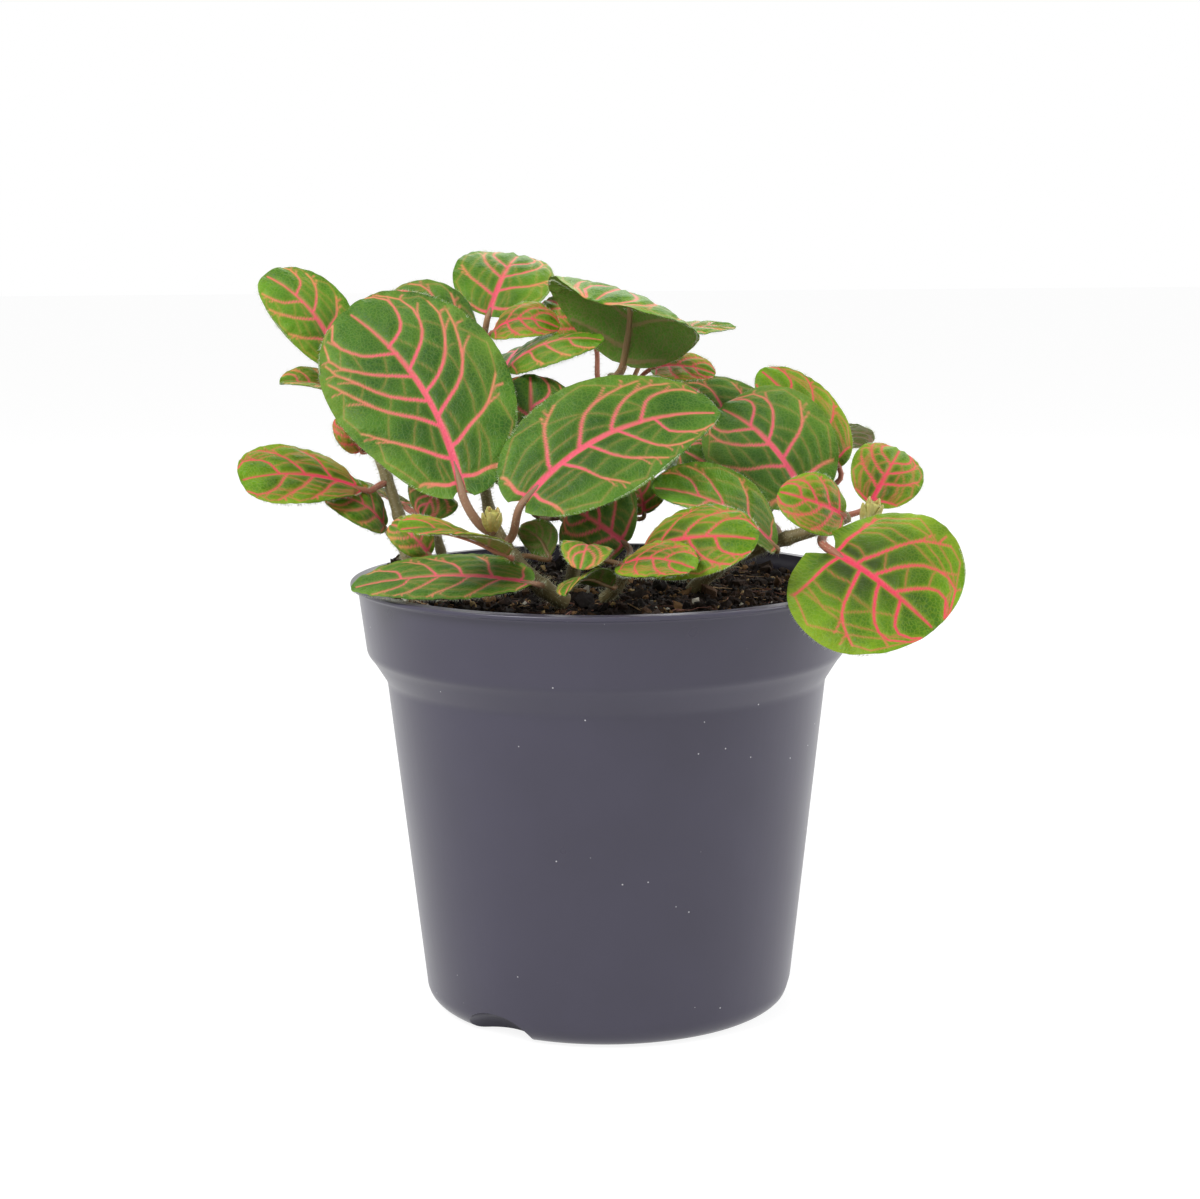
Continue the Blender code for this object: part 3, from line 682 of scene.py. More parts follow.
def vein_field(points, lines):
    """For flat points: how much of a vein each is, how faded, how near one, and the groove there.

    The distance to each straight piece of line is to the nearest point on it. A vein is full within
    its half width and fades over a soft edge, nearness and groove fall off as a Gaussian.
    """
    starts = np.concatenate([line[0][:-1] for line in lines])
    spans = np.concatenate([np.diff(line[0], axis=0) for line in lines])
    steps = [np.linspace(0, 1, len(line[0])) for line in lines]
    first = np.concatenate([step[:-1] for step in steps])
    last = np.concatenate([step[1:] for step in steps])
    counts = [len(line[0]) - 1 for line in lines]
    facts = np.repeat(np.array([line[1:] for line in lines]), counts, axis=0)
    vein, fading = np.zeros(len(points)), np.zeros(len(points))
    beside, groove = np.zeros(len(points)), np.zeros(len(points))
    for block in np.array_split(np.arange(len(starts)), max(1, len(starts) // 32)):
        gap = points[:, None] - starts[block]
        span = spans[block]
        share = np.clip((gap * span).sum(-1) / np.maximum((span**2).sum(-1), 1e-9), 0, 1)
        distance = np.linalg.norm(gap - share[..., None] * span, axis=-1)
        along = first[block] + (last[block] - first[block]) * share
        width = facts[block, 0] + (facts[block, 1] - facts[block, 0]) * along
        core = np.clip((width - distance) / SOFT_EDGE + 0.5, 0, 1) * facts[block, 5]
        best = core.argmax(axis=1)
        row = np.arange(len(points))
        tint = facts[block, 2] + (facts[block, 3] - facts[block, 2]) * along**1.6
        better = core[row, best] > vein
        fading[better] = tint[row, best][better]
        vein = np.maximum(vein, core[row, best])
        near = np.exp(-((np.maximum(distance - width, 0) / HALO) ** 2)) * np.minimum(width / 0.3, 1)
        beside = np.maximum(beside, near.max(axis=1))
        dip = facts[block, 4] * np.exp(-((distance / (width + VALLEY)) ** 2))
        groove = np.maximum(groove, dip.max(axis=1))
    return vein, fading, beside, groove


print("widest midrib, mm:", 2 * RIB_WIDTH)


# %% [markdown]
# ## Growing a leaf
# Each leaf is built of closed rings that run over the upper side and back underneath, so it is
# solid from the start. The stalk is a tube on a smooth curve out of the stem, and it carries on as
# the rib under the blade. Down grows along both margins and on the stalk.

# %% Blade, stalk and down
GRAIN = 0.27  # mm between points of the blade
BLADE_THICKNESS = 0.5
RIPPLE, CRIMP, GRAINY, QUILT, RAISE = 0.028, 0.07, 0.08, 1.5, 0.25  # a share of the width, then mm


def grow_blade(build, leaf, seed):
    """Rings of the blade: vein relief and ripples move both sides together.

    The rows along are spaced as a cosine, closer at base and tip, and those across as a sine, closer
    at the margins. The thickness is half a millimetre, less towards the margins and both ends.
    """
    dice = np.random.default_rng(seed)
    length = 1.06 * float(np.linalg.norm(np.subtract(leaf["tip"], leaf["base"])))
    along = int(np.clip(length / GRAIN, 40, 190))
    over = int(np.clip(leaf["width"] / GRAIN, 25, 140)) | 1
    s = np.clip((1 - np.cos(np.linspace(0, math.pi, along))) / 2, 0.004, 0.9975)
    t = np.sin(np.linspace(-1, 1, over) * math.pi / 2 * 0.93) / math.sin(math.pi / 2 * 0.93)
    half = leaf["width"] / 2
    u = np.broadcast_to((s * length)[:, None], (along, over))
    v = half * outline(s, leaf["rise"], leaf["fall"])[:, None] * t
    field = vein_field(np.stack([u.ravel(), v.ravel()], axis=1), vein_lines(leaf, length, dice))
    vein, fading, beside, groove = (part.reshape(along, over) for part in field)
    ripple = RIPPLE * leaf["width"] * rough(u, v, 11, seed, 2) * np.abs(t) ** 2
    wave = CRIMP * np.abs(t) ** 4 * np.sin(u * 2.1 + 9 * rough(u, v, 14, seed + 9, 1))
    fine = GRAINY * rough(u, v, 1.3, seed + 5, 2)
    shift = ripple + wave + fine - QUILT * groove + RAISE
    ends = (0.35 + 0.65 * np.sin(math.pi * s) ** 0.3)[:, None]
    thick = BLADE_THICKNESS / 2 * np.sqrt(1 - 0.96 * t**4) * ends
    upper = blade_points(leaf, s, t, shift + thick)
    lower = blade_points(leaf, s, t[1:-1], (shift - thick)[:, 1:-1])[:, ::-1]
    fade = fading + 0.25 * np.abs(t) * vein
    margin = np.abs(t) ** 4 * np.clip(0.5 + rough(u, v, 9, seed + 3, 2), 0, 1)
    pale = np.clip(0.42 * beside + 0.5 * margin, 0, 1)
    heart = np.exp(-((t / 0.62) ** 2)) * np.clip(1.5 * (1 - s), 0, 1)[:, None]
    inner = (0.5 if leaf["age"] == "bright" else 0.36) * heart
    top = np.stack([vein, np.clip(fade, 0, 1), pale, inner], axis=-1)
    under = top[:, 1:-1][:, ::-1] * [0.6, 1, 1, 0] + [0, 0, 0, 1]
    flat = np.stack([u, v], axis=-1) / 100 + 0.5
    build.rings(
        np.concatenate([upper, lower], axis=1),
        np.concatenate([top, under], axis=1).reshape(-1, 4),
        np.concatenate([flat, flat[:, 1:-1][:, ::-1]], axis=1).reshape(-1, 2),
    )
    return length


def stalk_path(leaf):
    """A cubic that leaves the stem squarely and meets the midrib, with the way the leaf's right is."""
    radius, points = STEMS[leaf["stem"]]
    before, foot, after = smooth_path(points, leaf["along"] + np.array([-0.01, 0, 0.01]))
    axis = unit(after - before)
    base = np.array(leaf["base"], float)
    out = base - foot
    out = unit(out - (out @ axis) * axis)
    start = foot + out * (radius * 0.6)
    _, ahead, right, _ = blade_frames(leaf, np.zeros(1))
    pull = 0.35 * np.linalg.norm(base - start)
    knots = np.stack([start, start + out * pull, base - ahead[0] * pull, base])
    u = np.linspace(0, 1, STALK_RINGS)
    weights = np.stack([(1 - u) ** 3, 3 * u * (1 - u) ** 2, 3 * u * u * (1 - u), u**3], axis=1)
    return weights @ knots, right[0]


def tube_rings(path, radii, side, count=10):
    """Round sections of these radii along a path, all turned the way side points."""
    way = unit(np.gradient(path, axis=0))
    across = unit(side - (way @ side)[:, None] * way)
    above = np.cross(across, way)
    turn = np.radians(180 - 360 / count * np.arange(count))
    spokes = across[:, None] * np.cos(turn)[:, None] + above[:, None] * np.sin(turn)[:, None]
    return path[:, None] + radii[:, None, None] * spokes, spokes


STALK_RINGS, RIB_RINGS = 14, 16
RIB_SUNK = 0.75  # mm of the rib's axis below the blade


def grow_stalk(build, leaf, dice):
    """One tube, thinning as it goes: out of the stem, then under the blade as its rib."""
    stalk, side = stalk_path(leaf)
    s = np.linspace(0.03, 0.8, RIB_RINGS)
    rib, _, _, above = blade_frames(leaf, s)
    sunk = RIB_SUNK * np.minimum(s / 0.12, 1)[:, None]
    path = np.concatenate([stalk, rib - sunk * above])
    size = math.sqrt(leaf["width"] / FULL_WIDTH)
    radii = np.concatenate([np.linspace(1.0, 0.85, STALK_RINGS), np.linspace(0.72, 0.12, RIB_RINGS)])
    radii *= max(size, 0.55)
    rings, spokes = tube_rings(path, radii, side)
    hue = np.concatenate([np.linspace(0.75, 0.25, STALK_RINGS), np.linspace(0.3, 0.9, RIB_RINGS)])
    facts = np.zeros((len(path), rings.shape[1], 4))
    facts[..., 0] = np.where(np.arange(len(path)) < STALK_RINGS, 0.95, 0.8)[:, None]
    facts[..., 1] = hue[:, None]
    facts[..., 3] = 1
    build.rings(rings, facts.reshape(-1, 4))
    count = int(70 * size + 4 * np.linalg.norm(stalk[-1] - stalk[0]))
    pick, turn = dice.integers(0, STALK_RINGS, count), dice.integers(0, rings.shape[1], count)
    ways = spokes[pick, turn] + dice.normal(0, 0.3, (count, 3))
    grow_hairs(build, rings[pick, turn], ways, dice.uniform(0.6, 1.3, count))


def grow_margin_down(build, leaf, length, dice):
    """Seven hairs to the millimetre along each edge, pointing from the blade out past it."""
    count = int(7 * length)
    s = dice.uniform(0.02, 0.985, count)
    s.sort()
    for edge in (-1.0, 1.0):
        rim = blade_points(leaf, s, np.array([edge]), np.zeros((count, 1)))[:, 0]
        inner = blade_points(leaf, s, np.array([edge * 0.9]), np.zeros((count, 1)))[:, 0]
        ways = unit(rim - inner) + dice.normal(0, 0.35, (count, 3))
        grow_hairs(build, inner * 0.25 + rim * 0.75, ways, dice.uniform(0.4, 1.1, count))


def whole_leaf(name):
    """The usual leaf with this leaf's own numbers over it."""
    age, stem, along, base, tip, width, differs = LEAVES[name]
    leaf = dict(USUAL_LEAF, age=age, stem=stem, along=along, base=base, tip=tip, width=width)
    leaf.update(differs)
    return leaf


def grow_leaf(name, seed):
    """Blade, stalk with rib, and down as one piece."""
    leaf = whole_leaf(name)
    build = Build()
    dice = np.random.default_rng(seed + 500)
    length = grow_blade(build, leaf, seed)
    grow_stalk(build, leaf, dice)
    grow_margin_down(build, leaf, length, dice)
    age = leaf["age"]
    return finish_piece(build, "fittonia_" + name, leaf_materials[age], "leaf_" + name)


for number, name in enumerate(LEAVES):
    grown = grow_leaf(name, 100 + 7 * number)
print("leaves grown:", len(LEAVES), "- last one has", len(grown.data.polygons), "faces")

# %% [markdown]
# ## Stems
# The stems are soft, brown-green, swollen at the joints and covered in down that catches the light.
# Each is a tube along the same path as in the plan, with a slow taper, a slight swelling every nine
# millimetres, as where leaves have been, and 26 hairs to the millimetre.

# %% Stem skin and stems
def stem_material():
    """Living bark of a soft stem: olive green and brown in streaks, pale where a hair is."""
    material, tree, shader = new_material(
        "fittonia_stem", Roughness=0.62, Sheen_Weight=0.35, Sheen_Roughness=0.4
    )
    shader.inputs["Sheen Tint"].default_value = linear("e8e4d0")
    place = add(tree, "ShaderNodeTexCoord").outputs["Object"]
    streaks = add(tree, "ShaderNodeTexNoise", {"Vector": place, "Scale": 1 / (2.5 * MM), "Detail": 3.0})
    colour = mix(tree, streaks.outputs["Fac"], "5e5c34", "8d7a52")
    facts = add(tree, "ShaderNodeAttribute", attribute_name="facts")
    parts = add(tree, "ShaderNodeSeparateColor", {"Color": facts.outputs["Color"]})
    colour = mix(tree, parts.outputs["Red"], colour, "cfd0a8")
    tree.links.new(colour, shader.inputs["Base Color"])
    bump = add(
        tree, "ShaderNodeBump", {"Height": streaks.outputs["Fac"], "Strength": 0.5, "Distance": 0.2 * MM}
    )
    tree.links.new(bump.outputs["Normal"], shader.inputs["Normal"])
    return material


STEM_RINGS, STEM_SIDES = 90, 16
KNOT_GAP, KNOT_SIZE = 9, 0.16  # mm between swellings, and each one as a share of the radius


def grow_stem(name, material, seed):
    """A tube whose radius falls evenly, plus a Gaussian swelling at each knot."""
    dice = np.random.default_rng(seed)
    radius, points = STEMS[name]
    along = np.linspace(-0.06, 1, STEM_RINGS)
    path = smooth_path(points, along)
    height = np.linalg.norm(path[-1] - path[0])
    knots = KNOT_SIZE * np.exp(-(((along * height) % KNOT_GAP - KNOT_GAP / 2) ** 2) / 0.9)
    radii = radius * (np.interp(along, [0, 1], [1, STEM_TAPER]) + knots)
    radii[-1] *= 0.5
    rings, spokes = tube_rings(path, radii, np.array([0.8, 0.5, 0.1]), STEM_SIDES)
    build = Build()
    build.rings(rings)
    count = int(26 * height)
    pick, turn = dice.integers(2, STEM_RINGS - 1, count), dice.integers(0, STEM_SIDES, count)
    ways = spokes[pick, turn] + dice.normal(0, 0.3, (count, 3))
    grow_hairs(build, rings[pick, turn], ways, dice.uniform(0.7, 1.6, count), (1, 0, 0, 0))
    return finish_piece(build, name.replace("stem", "shoot"), material, name)


bark = stem_material()
for number, name in enumerate(STEMS):
    grown = grow_stem(name, bark, 900 + number)
print("stems grown:", len(STEMS), "- last one has", len(grown.data.polygons), "faces")

# %% [markdown]
# ## Buds
# At the end of a shoot the youngest leaves are still wrapped round each other, pale yellow-green and
# pointed. Each bud is a ring of small leaves of the same formula, leaning out a little more towards
# the outside.

# %% Buds
BUD_LEAVES, LEAF_TURN = 7, 137.5  # degrees from each young leaf to the next


def grow_bud(name, seed):
    """Young leaves round a core, each turned on from the last and leaning out a little more."""
    dice = np.random.default_rng(seed)
    foot, way, height, radius = BUDS[name]
    foot, way = np.array(foot, float), unit(way)
    side = unit(np.cross(way, [0.2, 0.9, 0.1]))
    front = np.cross(side, way)
    build = Build()
    for k in range(BUD_LEAVES):
        turn = math.radians(k * LEAF_TURN)
        out = side * math.cos(turn) + front * math.sin(turn)
        spread = 0.35 + 0.65 * k / (BUD_LEAVES - 1)
        base = foot + out * radius * 0.25
        tip = foot + way * height * (0.98 - 0.3 * spread) + out * radius * 0.85 * spread
        scale = dict(USUAL_LEAF, age="bright", base=base, tip=tip, width=radius * 1.15, face=-out)
        scale.update(bow=-0.5, fold=24, curl=30, fall=0.9, rise=0.6)
        grow_blade(build, scale, seed + k)
    heights = np.linspace(0, 0.7, 12)
    core = foot + np.outer(heights * height, way)
    radii = radius * 0.62 * np.sqrt(np.sin(math.pi * (0.08 + heights)))
    rings, spokes = tube_rings(core, radii, side)
    build.rings(rings)
    pick, turn = dice.integers(0, 12, 120), dice.integers(0, 10, 120)
    ways = spokes[pick, turn] + 0.5 * way
    grow_hairs(build, rings[pick, turn], ways, dice.uniform(0.5, 1.0, 120))
    return finish_piece(build, "young_" + name, bud_material, name)


LEAF_COLOURS["bud"] = ("a8a44a", "cfc878", "d8d290", "c8a468", "d8cc8c", "a9a858", "c4ba78", "a8a44a")
bud_material = leaf_material("bud")
for number, name in enumerate(BUDS):
    grow_bud(name, 1300 + 20 * number)
print("buds grown:", len(BUDS))

# %% [markdown]
# ## The pot
# Nursery pots are thermoformed or thin injection-moulded polypropylene, about a millimetre thick,
# dark grey with a violet cast from recycled stock. The profile is turned round the axis: a rolled
# lip, a stacking collar, a step in to the tapered body, and a rounded foot with three drain notches.
# The turned wall is a grid of rings, and the notches are cut with the Boolean modifier, which makes
# the edge between a round hollow and a curved wall exact.

# %% Pot profile
POT_HEIGHT, RIM_RADIUS, WALL, FLOOR = 89.0, 52.5, 1.0, 1.2
COLLAR_RADIUS, LIP_HEIGHT = 51.0, 1.1
COLLAR_FOOT, BODY_TOP = (49.3, 74.4), (45.3, 68.5)
FOOT_RADIUS, CORNER = 38.2, 4.8
NOTCH_ANGLES, NOTCH_RADIUS, NOTCH_SIZE = (232.5, 352.5, 112.5), 38.5, (8.0, 8.5, 5.2)
DRAIN_RADIUS, DRAIN_HEIGHT = 1.5, 3.0


def arc(centre, radius, start, end, steps):
    """Points on an arc, angles in degrees from the outward way."""
    angle = np.radians(np.linspace(start, end, steps))
    return np.stack([centre[0] + radius * np.cos(angle), centre[1] + radius * np.sin(angle)], axis=1)


def rounded(points, radius, steps=7):
    """A chain of points with each inner corner replaced by a quadratic curve of about this size."""
    points = np.asarray(points, float)
    rows = [points[:1]]
    for before, corner, after in zip(points[:-2], points[1:-1], points[2:]):
        reach = min(radius, 0.45 * np.linalg.norm(before - corner), 0.45 * np.linalg.norm(after - corner))
        start, end = corner + unit(before - corner) * reach, corner + unit(after - corner) * reach
        u = np.linspace(0, 1, steps)[:, None]
        rows.append((1 - u) ** 2 * start + 2 * u * (1 - u) * corner + u**2 * end)
    return np.concatenate([*rows, points[-1:]])


def pot_outside():
    """(radius, height) from the axis at the top, out and down the wall, and in under the foot."""
    wall = rounded(
        [
            (RIM_RADIUS - 1.0, POT_HEIGHT),
            (RIM_RADIUS, POT_HEIGHT - 0.1),
            (RIM_RADIUS, POT_HEIGHT - LIP_HEIGHT + 0.2),
            (COLLAR_RADIUS, POT_HEIGHT - LIP_HEIGHT),
            COLLAR_FOOT,
            (COLLAR_FOOT[0] - 1.3, COLLAR_FOOT[1] - 1.6),
            BODY_TOP,
            (FOOT_RADIUS, CORNER),
        ],
        0.9,
    )
    corner = arc((FOOT_RADIUS - CORNER, CORNER), CORNER, 0, -90, 12)
    return np.concatenate([[(0, POT_HEIGHT)], wall, corner[1:], [(0, 0)]])


def pot_inside():
    """The same a wall's thickness in, open above the rim and closed by the floor."""
    wall = rounded(
        [
            (COLLAR_RADIUS - WALL, POT_HEIGHT + 2),
            (COLLAR_RADIUS - WALL, POT_HEIGHT - LIP_HEIGHT),
            (COLLAR_FOOT[0] - WALL, COLLAR_FOOT[1] + 0.3),
            (BODY_TOP[0] - WALL, BODY_TOP[1] + 0.3),
            (FOOT_RADIUS - WALL, CORNER + 0.2),
        ],
        0.9,
    )
    corner = arc((FOOT_RADIUS - CORNER, CORNER + 0.2), CORNER - WALL, 0, -90, 8)
    return np.concatenate([[(0, POT_HEIGHT + 2)], wall, corner[1:], [(0, FLOOR)]])


print("pot is", 2 * RIM_RADIUS, "mm across and", POT_HEIGHT, "mm tall")

# %% Turning and cutting
POT_STEPS, SHARP_ANGLE = 180, 38  # points round, and degrees from which an edge is drawn sharp


def turned(name, profile, steps):
    """Rings round Z from the profile's foot to its top, capped flat. On the axis a ring is 0.01 mm."""
    angle = 2 * math.pi * np.arange(steps) / steps
    spokes = np.stack([np.cos(angle), np.sin(angle), np.zeros(steps)], axis=1)
    radii, heights = np.maximum(profile[::-1, 0], 0.01), profile[::-1, 1]
    rings = radii[:, None, None] * spokes + heights[:, None, None] * [0, 0, 1]
    points = np.concatenate(list(rings)) * MM
    faces = ring_quads(len(profile), steps).tolist()
    last = (len(profile) - 1) * steps
    faces += [list(range(steps))[::-1], [last + k for k in range(steps)]]
    mesh = bpy.data.meshes.new(name)
    mesh.from_pydata(points.tolist(), [], faces)
    obj = bpy.data.objects.new(name, mesh)
    bpy.context.scene.collection.objects.link(obj)
    return obj


def notches(name, grow):
    """Three flattened spheres centred on the foot's edge: each hollows both wall and floor."""
    shape = bmesh.new()
    size = [(side + grow) * MM for side in NOTCH_SIZE]
    for angle in NOTCH_ANGLES:
        place = (
            Matrix.Rotation(math.radians(angle), 4, "Z")
            @ Matrix.Translation((NOTCH_RADIUS * MM, 0, 0))
            @ Matrix.Diagonal((*size, 1))
        )
        bmesh.ops.create_uvsphere(shape, u_segments=48, v_segments=32, radius=1, matrix=place)
    return from_bmesh(name, shape)


def drains(name):
    """A short rod through the back of each notch."""
    shape = bmesh.new()
    for angle in NOTCH_ANGLES:
        place = (
            Matrix.Rotation(math.radians(angle), 4, "Z")
            @ Matrix.Translation(((NOTCH_RADIUS - NOTCH_SIZE[0]) * MM, 0, DRAIN_HEIGHT * MM))
            @ Matrix.Rotation(math.radians(90), 4, "Y")
        )
        size = DRAIN_RADIUS * MM
        bmesh.ops.create_cone(
            shape, cap_ends=True, segments=32, radius1=size, radius2=size, depth=7 * MM, matrix=place
        )
    return from_bmesh(name, shape)


def from_bmesh(name, shape):
    """A bmesh as an object of its own."""
    mesh = bpy.data.meshes.new(name)
    shape.to_mesh(mesh)
    shape.free()
    obj = bpy.data.objects.new(name, mesh)
    bpy.context.scene.collection.objects.link(obj)
    return obj


def cut(obj, cutters):
    """Cuts each cutter from obj, keeps the result as plain faces and removes the cutters."""
    for cutter in cutters:
        boolean = obj.modifiers.new("Cut", "BOOLEAN")
        boolean.operation, boolean.solver, boolean.object = "DIFFERENCE", "EXACT", cutter
    bpy.context.view_layer.update()
    solid = bpy.data.meshes.new_from_object(obj.evaluated_get(bpy.context.evaluated_depsgraph_get()))
    obj.modifiers.clear()
    obj.data = solid
    for cutter in cutters:
        bpy.data.objects.remove(cutter, do_unlink=True)


# %% Pot plastic
FLOW, CLOUD, DUST_GAP = 1.4, 18.0, 3.4  # mm: flow marks, faint clouds, places for a speck


def pot_material():
    """Moulded polypropylene: soft gloss, fine vertical flow marks, and a little white dust."""
    material, tree, shader = new_material(
        "moulded_polypropylene_grey", Specular_IOR_Level=0.52, IOR=1.49
    )
    place = add(tree, "ShaderNodeTexCoord").outputs["Object"]
    stretch = add(tree, "ShaderNodeMapping", {"Vector": place, "Scale": (1.0, 1.0, 0.12)})
    flow = add(
        tree, "ShaderNodeTexNoise", {"Vector": stretch.outputs[0], "Scale": 1 / (FLOW * MM), "Detail": 4.0}
    )
    clouds = add(tree, "ShaderNodeTexNoise", {"Vector": place, "Scale": 1 / (CLOUD * MM), "Detail": 3.0})
    specks = add(tree, "ShaderNodeTexVoronoi", {"Vector": place, "Scale": 1 / (DUST_GAP * MM)})
    dust = add(
        tree,
        "ShaderNodeMapRange",
        {
            "Value": specks.outputs["Distance"],
            "From Min": 0.035,
            "From Max": 0.05,
            "To Min": 1.0,
            "To Max": 0.0,
        },
    ).outputs["Result"]
    rare = add(
        tree,
        "ShaderNodeMapRange",
        {"Value": specks.outputs["Color"], "From Min": 0.62, "From Max": 0.66},
    ).outputs["Result"]
    dust = add(tree, "ShaderNodeMath", {0: dust, 1: rare}, operation="MULTIPLY").outputs[0]
    colour = mix(tree, clouds.outputs["Fac"], "383545", "413e50")
    colour = mix(tree, dust, colour, "c9c8cc")
    tree.links.new(colour, shader.inputs["Base Color"])
    gloss = add(
        tree, "ShaderNodeMapRange", {"Value": clouds.outputs["Fac"], "To Min": 0.24, "To Max": 0.36}
    )
    tree.links.new(gloss.outputs["Result"], shader.inputs["Roughness"])
    bump = add(
        tree, "ShaderNodeBump", {"Height": flow.outputs["Fac"], "Strength": 0.18, "Distance": 0.06 * MM}
    )
    tree.links.new(bump.outputs["Normal"], shader.inputs["Normal"])
    return material


def make_pot():
    """The outside, less the notches, the inside (which leaves a wall behind each) and the drains."""
    pot = turned("nursery_pot", pot_outside(), POT_STEPS)
    hollow = turned("hollow", pot_inside(), POT_STEPS)
    cut(hollow, [notches("notch_walls", WALL)])
    cut(pot, [notches("notch_hollows", 0), hollow, drains("drain_holes")])
    pot.data.materials.clear()
    pot.data.materials.append(pot_material())
    pot.data.shade_smooth()
    pot.data.set_sharp_from_angle(angle=math.radians(SHARP_ANGLE))
    register(pot, "pot")
    return pot


pot = make_pot()
print("pot faces:", len(pot.data.polygons))

# %% [markdown]
# ## Soil
# Potting mix is dark peat with crumbs of bark, a few grains of white perlite and torn fibres. A
# flat dark disc reads as paint, so the soil is three things: a lumpy bed, a few thousand loose
# crumbs on it, and fibres lying across them. The bed is a grid of rings over a height formula: a low
# dome, slow waves, the mound beside the rim, and noise.

# %% Soil bed
SOIL_LEVEL, SOIL_FLOOR, SOIL_RADIUS = 85.4, 7.6, 49.3


def soil_height(x, y):
    """Dome, waves and mound, then lumps of 7 mm and less."""
    radius = np.hypot(x, y)
    dome = 1.0 * (1 - (radius / 49) ** 2)
    waves = 0.35 * np.sin(0.33 * x + 1.0) * np.cos(0.27 * y)
    mound = 8.0 * np.exp(-((x + 41) ** 2 + (y - 2) ** 2) / 42)
    return SOIL_LEVEL - 0.4 + dome + waves + mound + 0.75 * rough(x, y, 6.5, 41, 5)


def soil_material():
    """Damp peat: nearly black where wet, brown where it has dried, and matt."""
    material, tree, shader = new_material("potting_peat", Roughness=0.9, Specular_IOR_Level=0.25)
    place = add(tree, "ShaderNodeTexCoord").outputs["Object"]
    grains = add(tree, "ShaderNodeTexNoise", {"Vector": place, "Scale": 1 / (1.1 * MM), "Detail": 6.0})
    patches = add(tree, "ShaderNodeTexNoise", {"Vector": place, "Scale": 1 / (8 * MM), "Detail": 2.0})
    facts = add(tree, "ShaderNodeAttribute", attribute_name="facts")
    peat = mix(tree, patches.outputs["Fac"], "120e0d", "3a2f29")
    peat = mix(tree, grains.outputs["Fac"], peat, "2a211d")
    colour = mix(tree, facts.outputs["Alpha"], peat, facts.outputs["Color"])
    tree.links.new(colour, shader.inputs["Base Color"])
    bump = add(
        tree, "ShaderNodeBump", {"Height": grains.outputs["Fac"], "Strength": 0.9, "Distance": 0.5 * MM}
    )
    tree.links.new(bump.outputs["Normal"], shader.inputs["Normal"])
    return material


BED_STEPS, BED_RINGS = 240, 110


def make_bed(material):
    """Rings up the inside of the wall, then in over the top to the axis, at the height formula."""
    angle = 2 * math.pi * np.arange(BED_STEPS) / BED_STEPS
    x, y = np.cos(angle), np.sin(angle)
    inside = pot_inside()[::-1]
    heights = np.array([SOIL_FLOOR, 30.0, BODY_TOP[1], COLLAR_FOOT[1]])
    walls = np.interp(heights, inside[1:-1, 1], inside[1:-1, 0]) - 0.15
    rings = [np.stack([r * x, r * y, np.full(BED_STEPS, h)], axis=1) for r, h in zip(walls, heights)]
    for r in np.linspace(SOIL_RADIUS, 0.3, BED_RINGS):
        rings.append(np.stack([r * x, r * y, soil_height(r * x, r * y)], axis=1))
    build = Build()
    build.rings(np.stack(rings))
    return finish_piece(build, "peat_bed", material, "soil")


peat = soil_material()
bed = make_bed(peat)
print("bed faces:", len(bed.data.polygons))

# %% Crumbs and fibres
CRUMBS, FIBRES = 5200, 150
CRUMB_HUES = ("1b1513", "2c221d", "3d2f27", "57412f", "8a6a48", "b59a6c", "d8d2c4")
CRUMB_SHARES = (0.34, 0.26, 0.18, 0.12, 0.06, 0.025, 0.015)


def scatter(dice, count, reach=48.6):
    """Places spread evenly over the disc: radius is the square root of an even share."""
    radius, angle = reach * np.sqrt(dice.uniform(0, 1, count)), dice.uniform(0, 2 * math.pi, count)
    return radius * np.cos(angle), radius * np.sin(angle)


def make_crumbs(material, count=CRUMBS):
    """One lump, a twenty-sided ball, copied with its own size, squash, turn and hue."""
    dice = np.random.default_rng(77)
    lump = bmesh.new()
    bmesh.ops.create_icosphere(lump, subdivisions=1, radius=1)
    ball = np.array([tuple(vertex.co) for vertex in lump.verts])
    sides = np.array([[vertex.index for vertex in face.verts] for face in lump.faces])
    lump.free()
    x, y = scatter(dice, count)
    size = 0.22 + dice.gamma(1.6, 0.24, count)
    z = soil_height(x, y) + 0.25 * size
    keep = np.hypot(x, y) + size < 49.2
    x, y, z, size = x[keep], y[keep], z[keep], size[keep]
    count = len(x)
    shape = ball * dice.uniform(0.6, 1.35, (count, len(ball), 1)) * dice.uniform(0.5, 1.1, (count, 1, 3))
    spin = np.linalg.qr(dice.normal(0, 1, (count, 3, 3)))[0]
    spin[:, :, 0] *= np.sign(np.linalg.det(spin))[:, None]
    points = np.einsum("nij,nkj->nki", spin, shape) * size[:, None, None]
    points += np.stack([x, y, z], axis=1)[:, None]
    hues = np.array([linear(hue) for hue in CRUMB_HUES])
    tone = hues[dice.choice(len(hues), count, p=CRUMB_SHARES)]
    faces = (len(ball) * np.arange(count)[:, None, None] + sides).reshape(-1, 3)
    build = Build()
    build.take(points, [faces], np.repeat(tone, len(ball), axis=0))
    return finish_piece(build, "peat_crumbs", material, None, smooth=False)


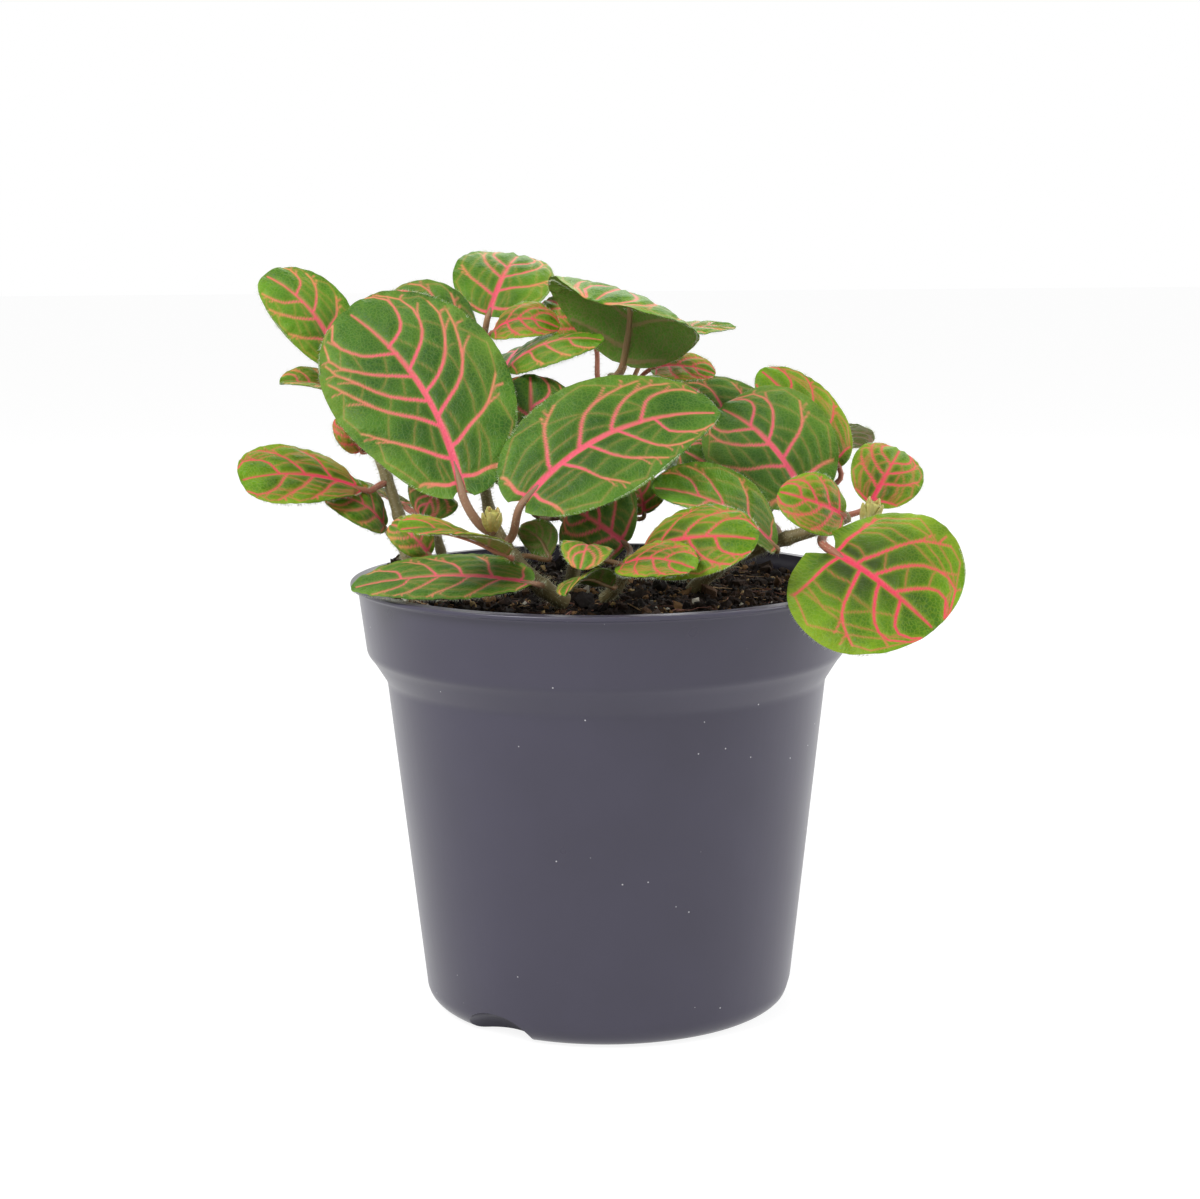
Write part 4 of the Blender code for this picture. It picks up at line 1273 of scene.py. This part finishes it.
def make_fibres(material, count=FIBRES):
    """Thin torn roots: short arcs lying on the bed, each a four-sided tube."""
    dice = np.random.default_rng(99)
    hues = np.array([linear(hue) for hue in ("6b4a3d", "8c6355", "a98d6a", "3b2a22")])
    build = Build()
    x, y = scatter(dice, count, 42)
    for k in range(count):
        u = np.linspace(-1, 1, 9)
        long, bend, turn = dice.uniform(1.5, 6), dice.uniform(-1.2, 1.2), dice.uniform(0, math.pi)
        px = x[k] + long * (u * math.cos(turn) - 0.4 * bend * u**2 * math.sin(turn))
        py = y[k] + long * (u * math.sin(turn) + 0.4 * bend * u**2 * math.cos(turn))
        far = np.maximum(np.hypot(px, py) / 48.8, 1)
        px, py = px / far, py / far
        pz = soil_height(px, py) + 0.35 + 0.5 * dice.uniform(0, 1) * (1 - u**2)
        path = np.stack([px, py, pz], axis=1)
        rings, _ = tube_rings(path, np.linspace(0.16, 0.05, 9), np.array([0.1, 0.2, 1.0]), 4)
        build.rings(rings, hues[dice.integers(0, 4)])
    return finish_piece(build, "peat_fibres", material, None)


crumbs = make_crumbs(peat)
make_fibres(peat)
print("crumb faces:", len(crumbs.data.polygons))

# %% [markdown]
# ## Light, floor and camera
# The light is a plain product table: one broad lamp high on the left, weaker ones on the right and
# behind, a white room round it all, and a white floor that keeps the shadow. Room and floor look
# white to the camera and to reflections, and the lamps stay low enough that pale parts hold their
# colour.

# %% Stage
def white_rays(tree):
    """1 for the rays that should meet a white room: the camera's, reflected and transmitted ones."""
    rays = add(tree, "ShaderNodeLightPath").outputs
    most = rays["Is Camera Ray"]
    for kind in ("Is Glossy Ray", "Is Transmission Ray"):
        most = add(tree, "ShaderNodeMath", {0: most, 1: rays[kind]}, operation="MAXIMUM").outputs[0]
    return most


FLOOR_REACH, GLOW_SHARE, GLOW = 4.0, 0.75, 1.17  # metres; the floor's own white, for white rays
ROOM_LIGHT = 0.4


def make_floor():
    """One big square, part painted white and part glowing for the rays that should see white."""
    mesh = bpy.data.meshes.new("table")
    corners = [(x * FLOOR_REACH, y * FLOOR_REACH, 0) for x, y in ((-1, -1), (1, -1), (1, 1), (-1, 1))]
    mesh.from_pydata(corners, [], [[0, 1, 2, 3]])
    floor = bpy.data.objects.new("table", mesh)
    bpy.context.scene.collection.objects.link(floor)
    material, tree, shader = new_material("white_table", Roughness=0.9, Specular_IOR_Level=0.1)
    shader.inputs["Base Color"].default_value = linear("f4f4f4")
    glow = add(tree, "ShaderNodeEmission", {"Strength": GLOW})
    seen = white_rays(tree)
    share = add(tree, "ShaderNodeMath", {0: seen, 1: GLOW_SHARE}, operation="MULTIPLY").outputs[0]
    both = add(tree, "ShaderNodeMixShader", {0: share, 1: shader.outputs[0], 2: glow.outputs[0]})
    tree.links.new(both.outputs[0], tree.nodes["Material Output"].inputs["Surface"])
    mesh.materials.append(material)


def make_room(strength):
    """An even white world: this strong as light, and full white where it is seen."""
    world = bpy.data.worlds.new("white_room")
    bpy.context.scene.world = world
    world.use_nodes = True
    tree = world.node_tree
    tree.nodes.clear()
    lit = add(tree, "ShaderNodeBackground", {"Color": (1, 1, 1, 1), "Strength": strength})
    white = add(tree, "ShaderNodeBackground", {"Color": (1, 1, 1, 1), "Strength": 1.0})
    both = add(tree, "ShaderNodeMixShader", {0: white_rays(tree), 1: lit.outputs[0], 2: white.outputs[0]})
    out = add(tree, "ShaderNodeOutputWorld")
    tree.links.new(both.outputs[0], out.inputs["Surface"])


LAMPS = (  # name, place in metres, diameter in metres, watts
    ("key", (-0.55, -0.5, 0.85), 0.5, 8.6),
    ("fill", (0.85, 0.05, 0.4), 0.6, 4.6),
    ("back", (0.1, 0.8, 0.7), 0.7, 3.0),
)
PLANT_HEART = (0, 0, 0.09)


def make_lamp(name, place, size, power):
    """A round soft lamp that faces the middle of the plant."""
    lamp = bpy.data.lights.new(name, "AREA")
    lamp.shape, lamp.size, lamp.energy = "DISK", size, power
    obj = bpy.data.objects.new(name, lamp)
    bpy.context.scene.collection.objects.link(obj)
    aim = Vector(place) - Vector(PLANT_HEART)
    obj.location = place
    obj.rotation_mode = "QUATERNION"
    obj.rotation_quaternion = aim.to_track_quat("Z", "Y")


make_floor()
make_room(ROOM_LIGHT)
for settings in LAMPS:
    make_lamp(*settings)
print("lamps:", len(LAMPS))

# %% Camera
CAMERA_PLACE = (-0.0012, -0.529, 0.1669)
CAMERA_DOWN, CAMERA_ROLL = 8.89, -0.45  # degrees
CAMERA_LENS, SENSOR = 77.73, 36.0


def make_camera():
    """Half a metre in front and a little above, looking down and rolled a hair."""
    camera = bpy.data.cameras.new("camera")
    camera.lens, camera.sensor_width = CAMERA_LENS, SENSOR
    camera.clip_start = 0.01
    obj = bpy.data.objects.new("camera", camera)
    bpy.context.scene.collection.objects.link(obj)
    obj.matrix_world = (
        Matrix.Translation(CAMERA_PLACE)
        @ Matrix.Rotation(math.radians(90 - CAMERA_DOWN), 4, "X")
        @ Matrix.Rotation(math.radians(CAMERA_ROLL), 4, "Z")
    )
    bpy.context.scene.camera = obj


make_camera()
print("camera looks down by", CAMERA_DOWN, "degrees")
bpy.context.scene.view_settings.view_transform = "Standard"
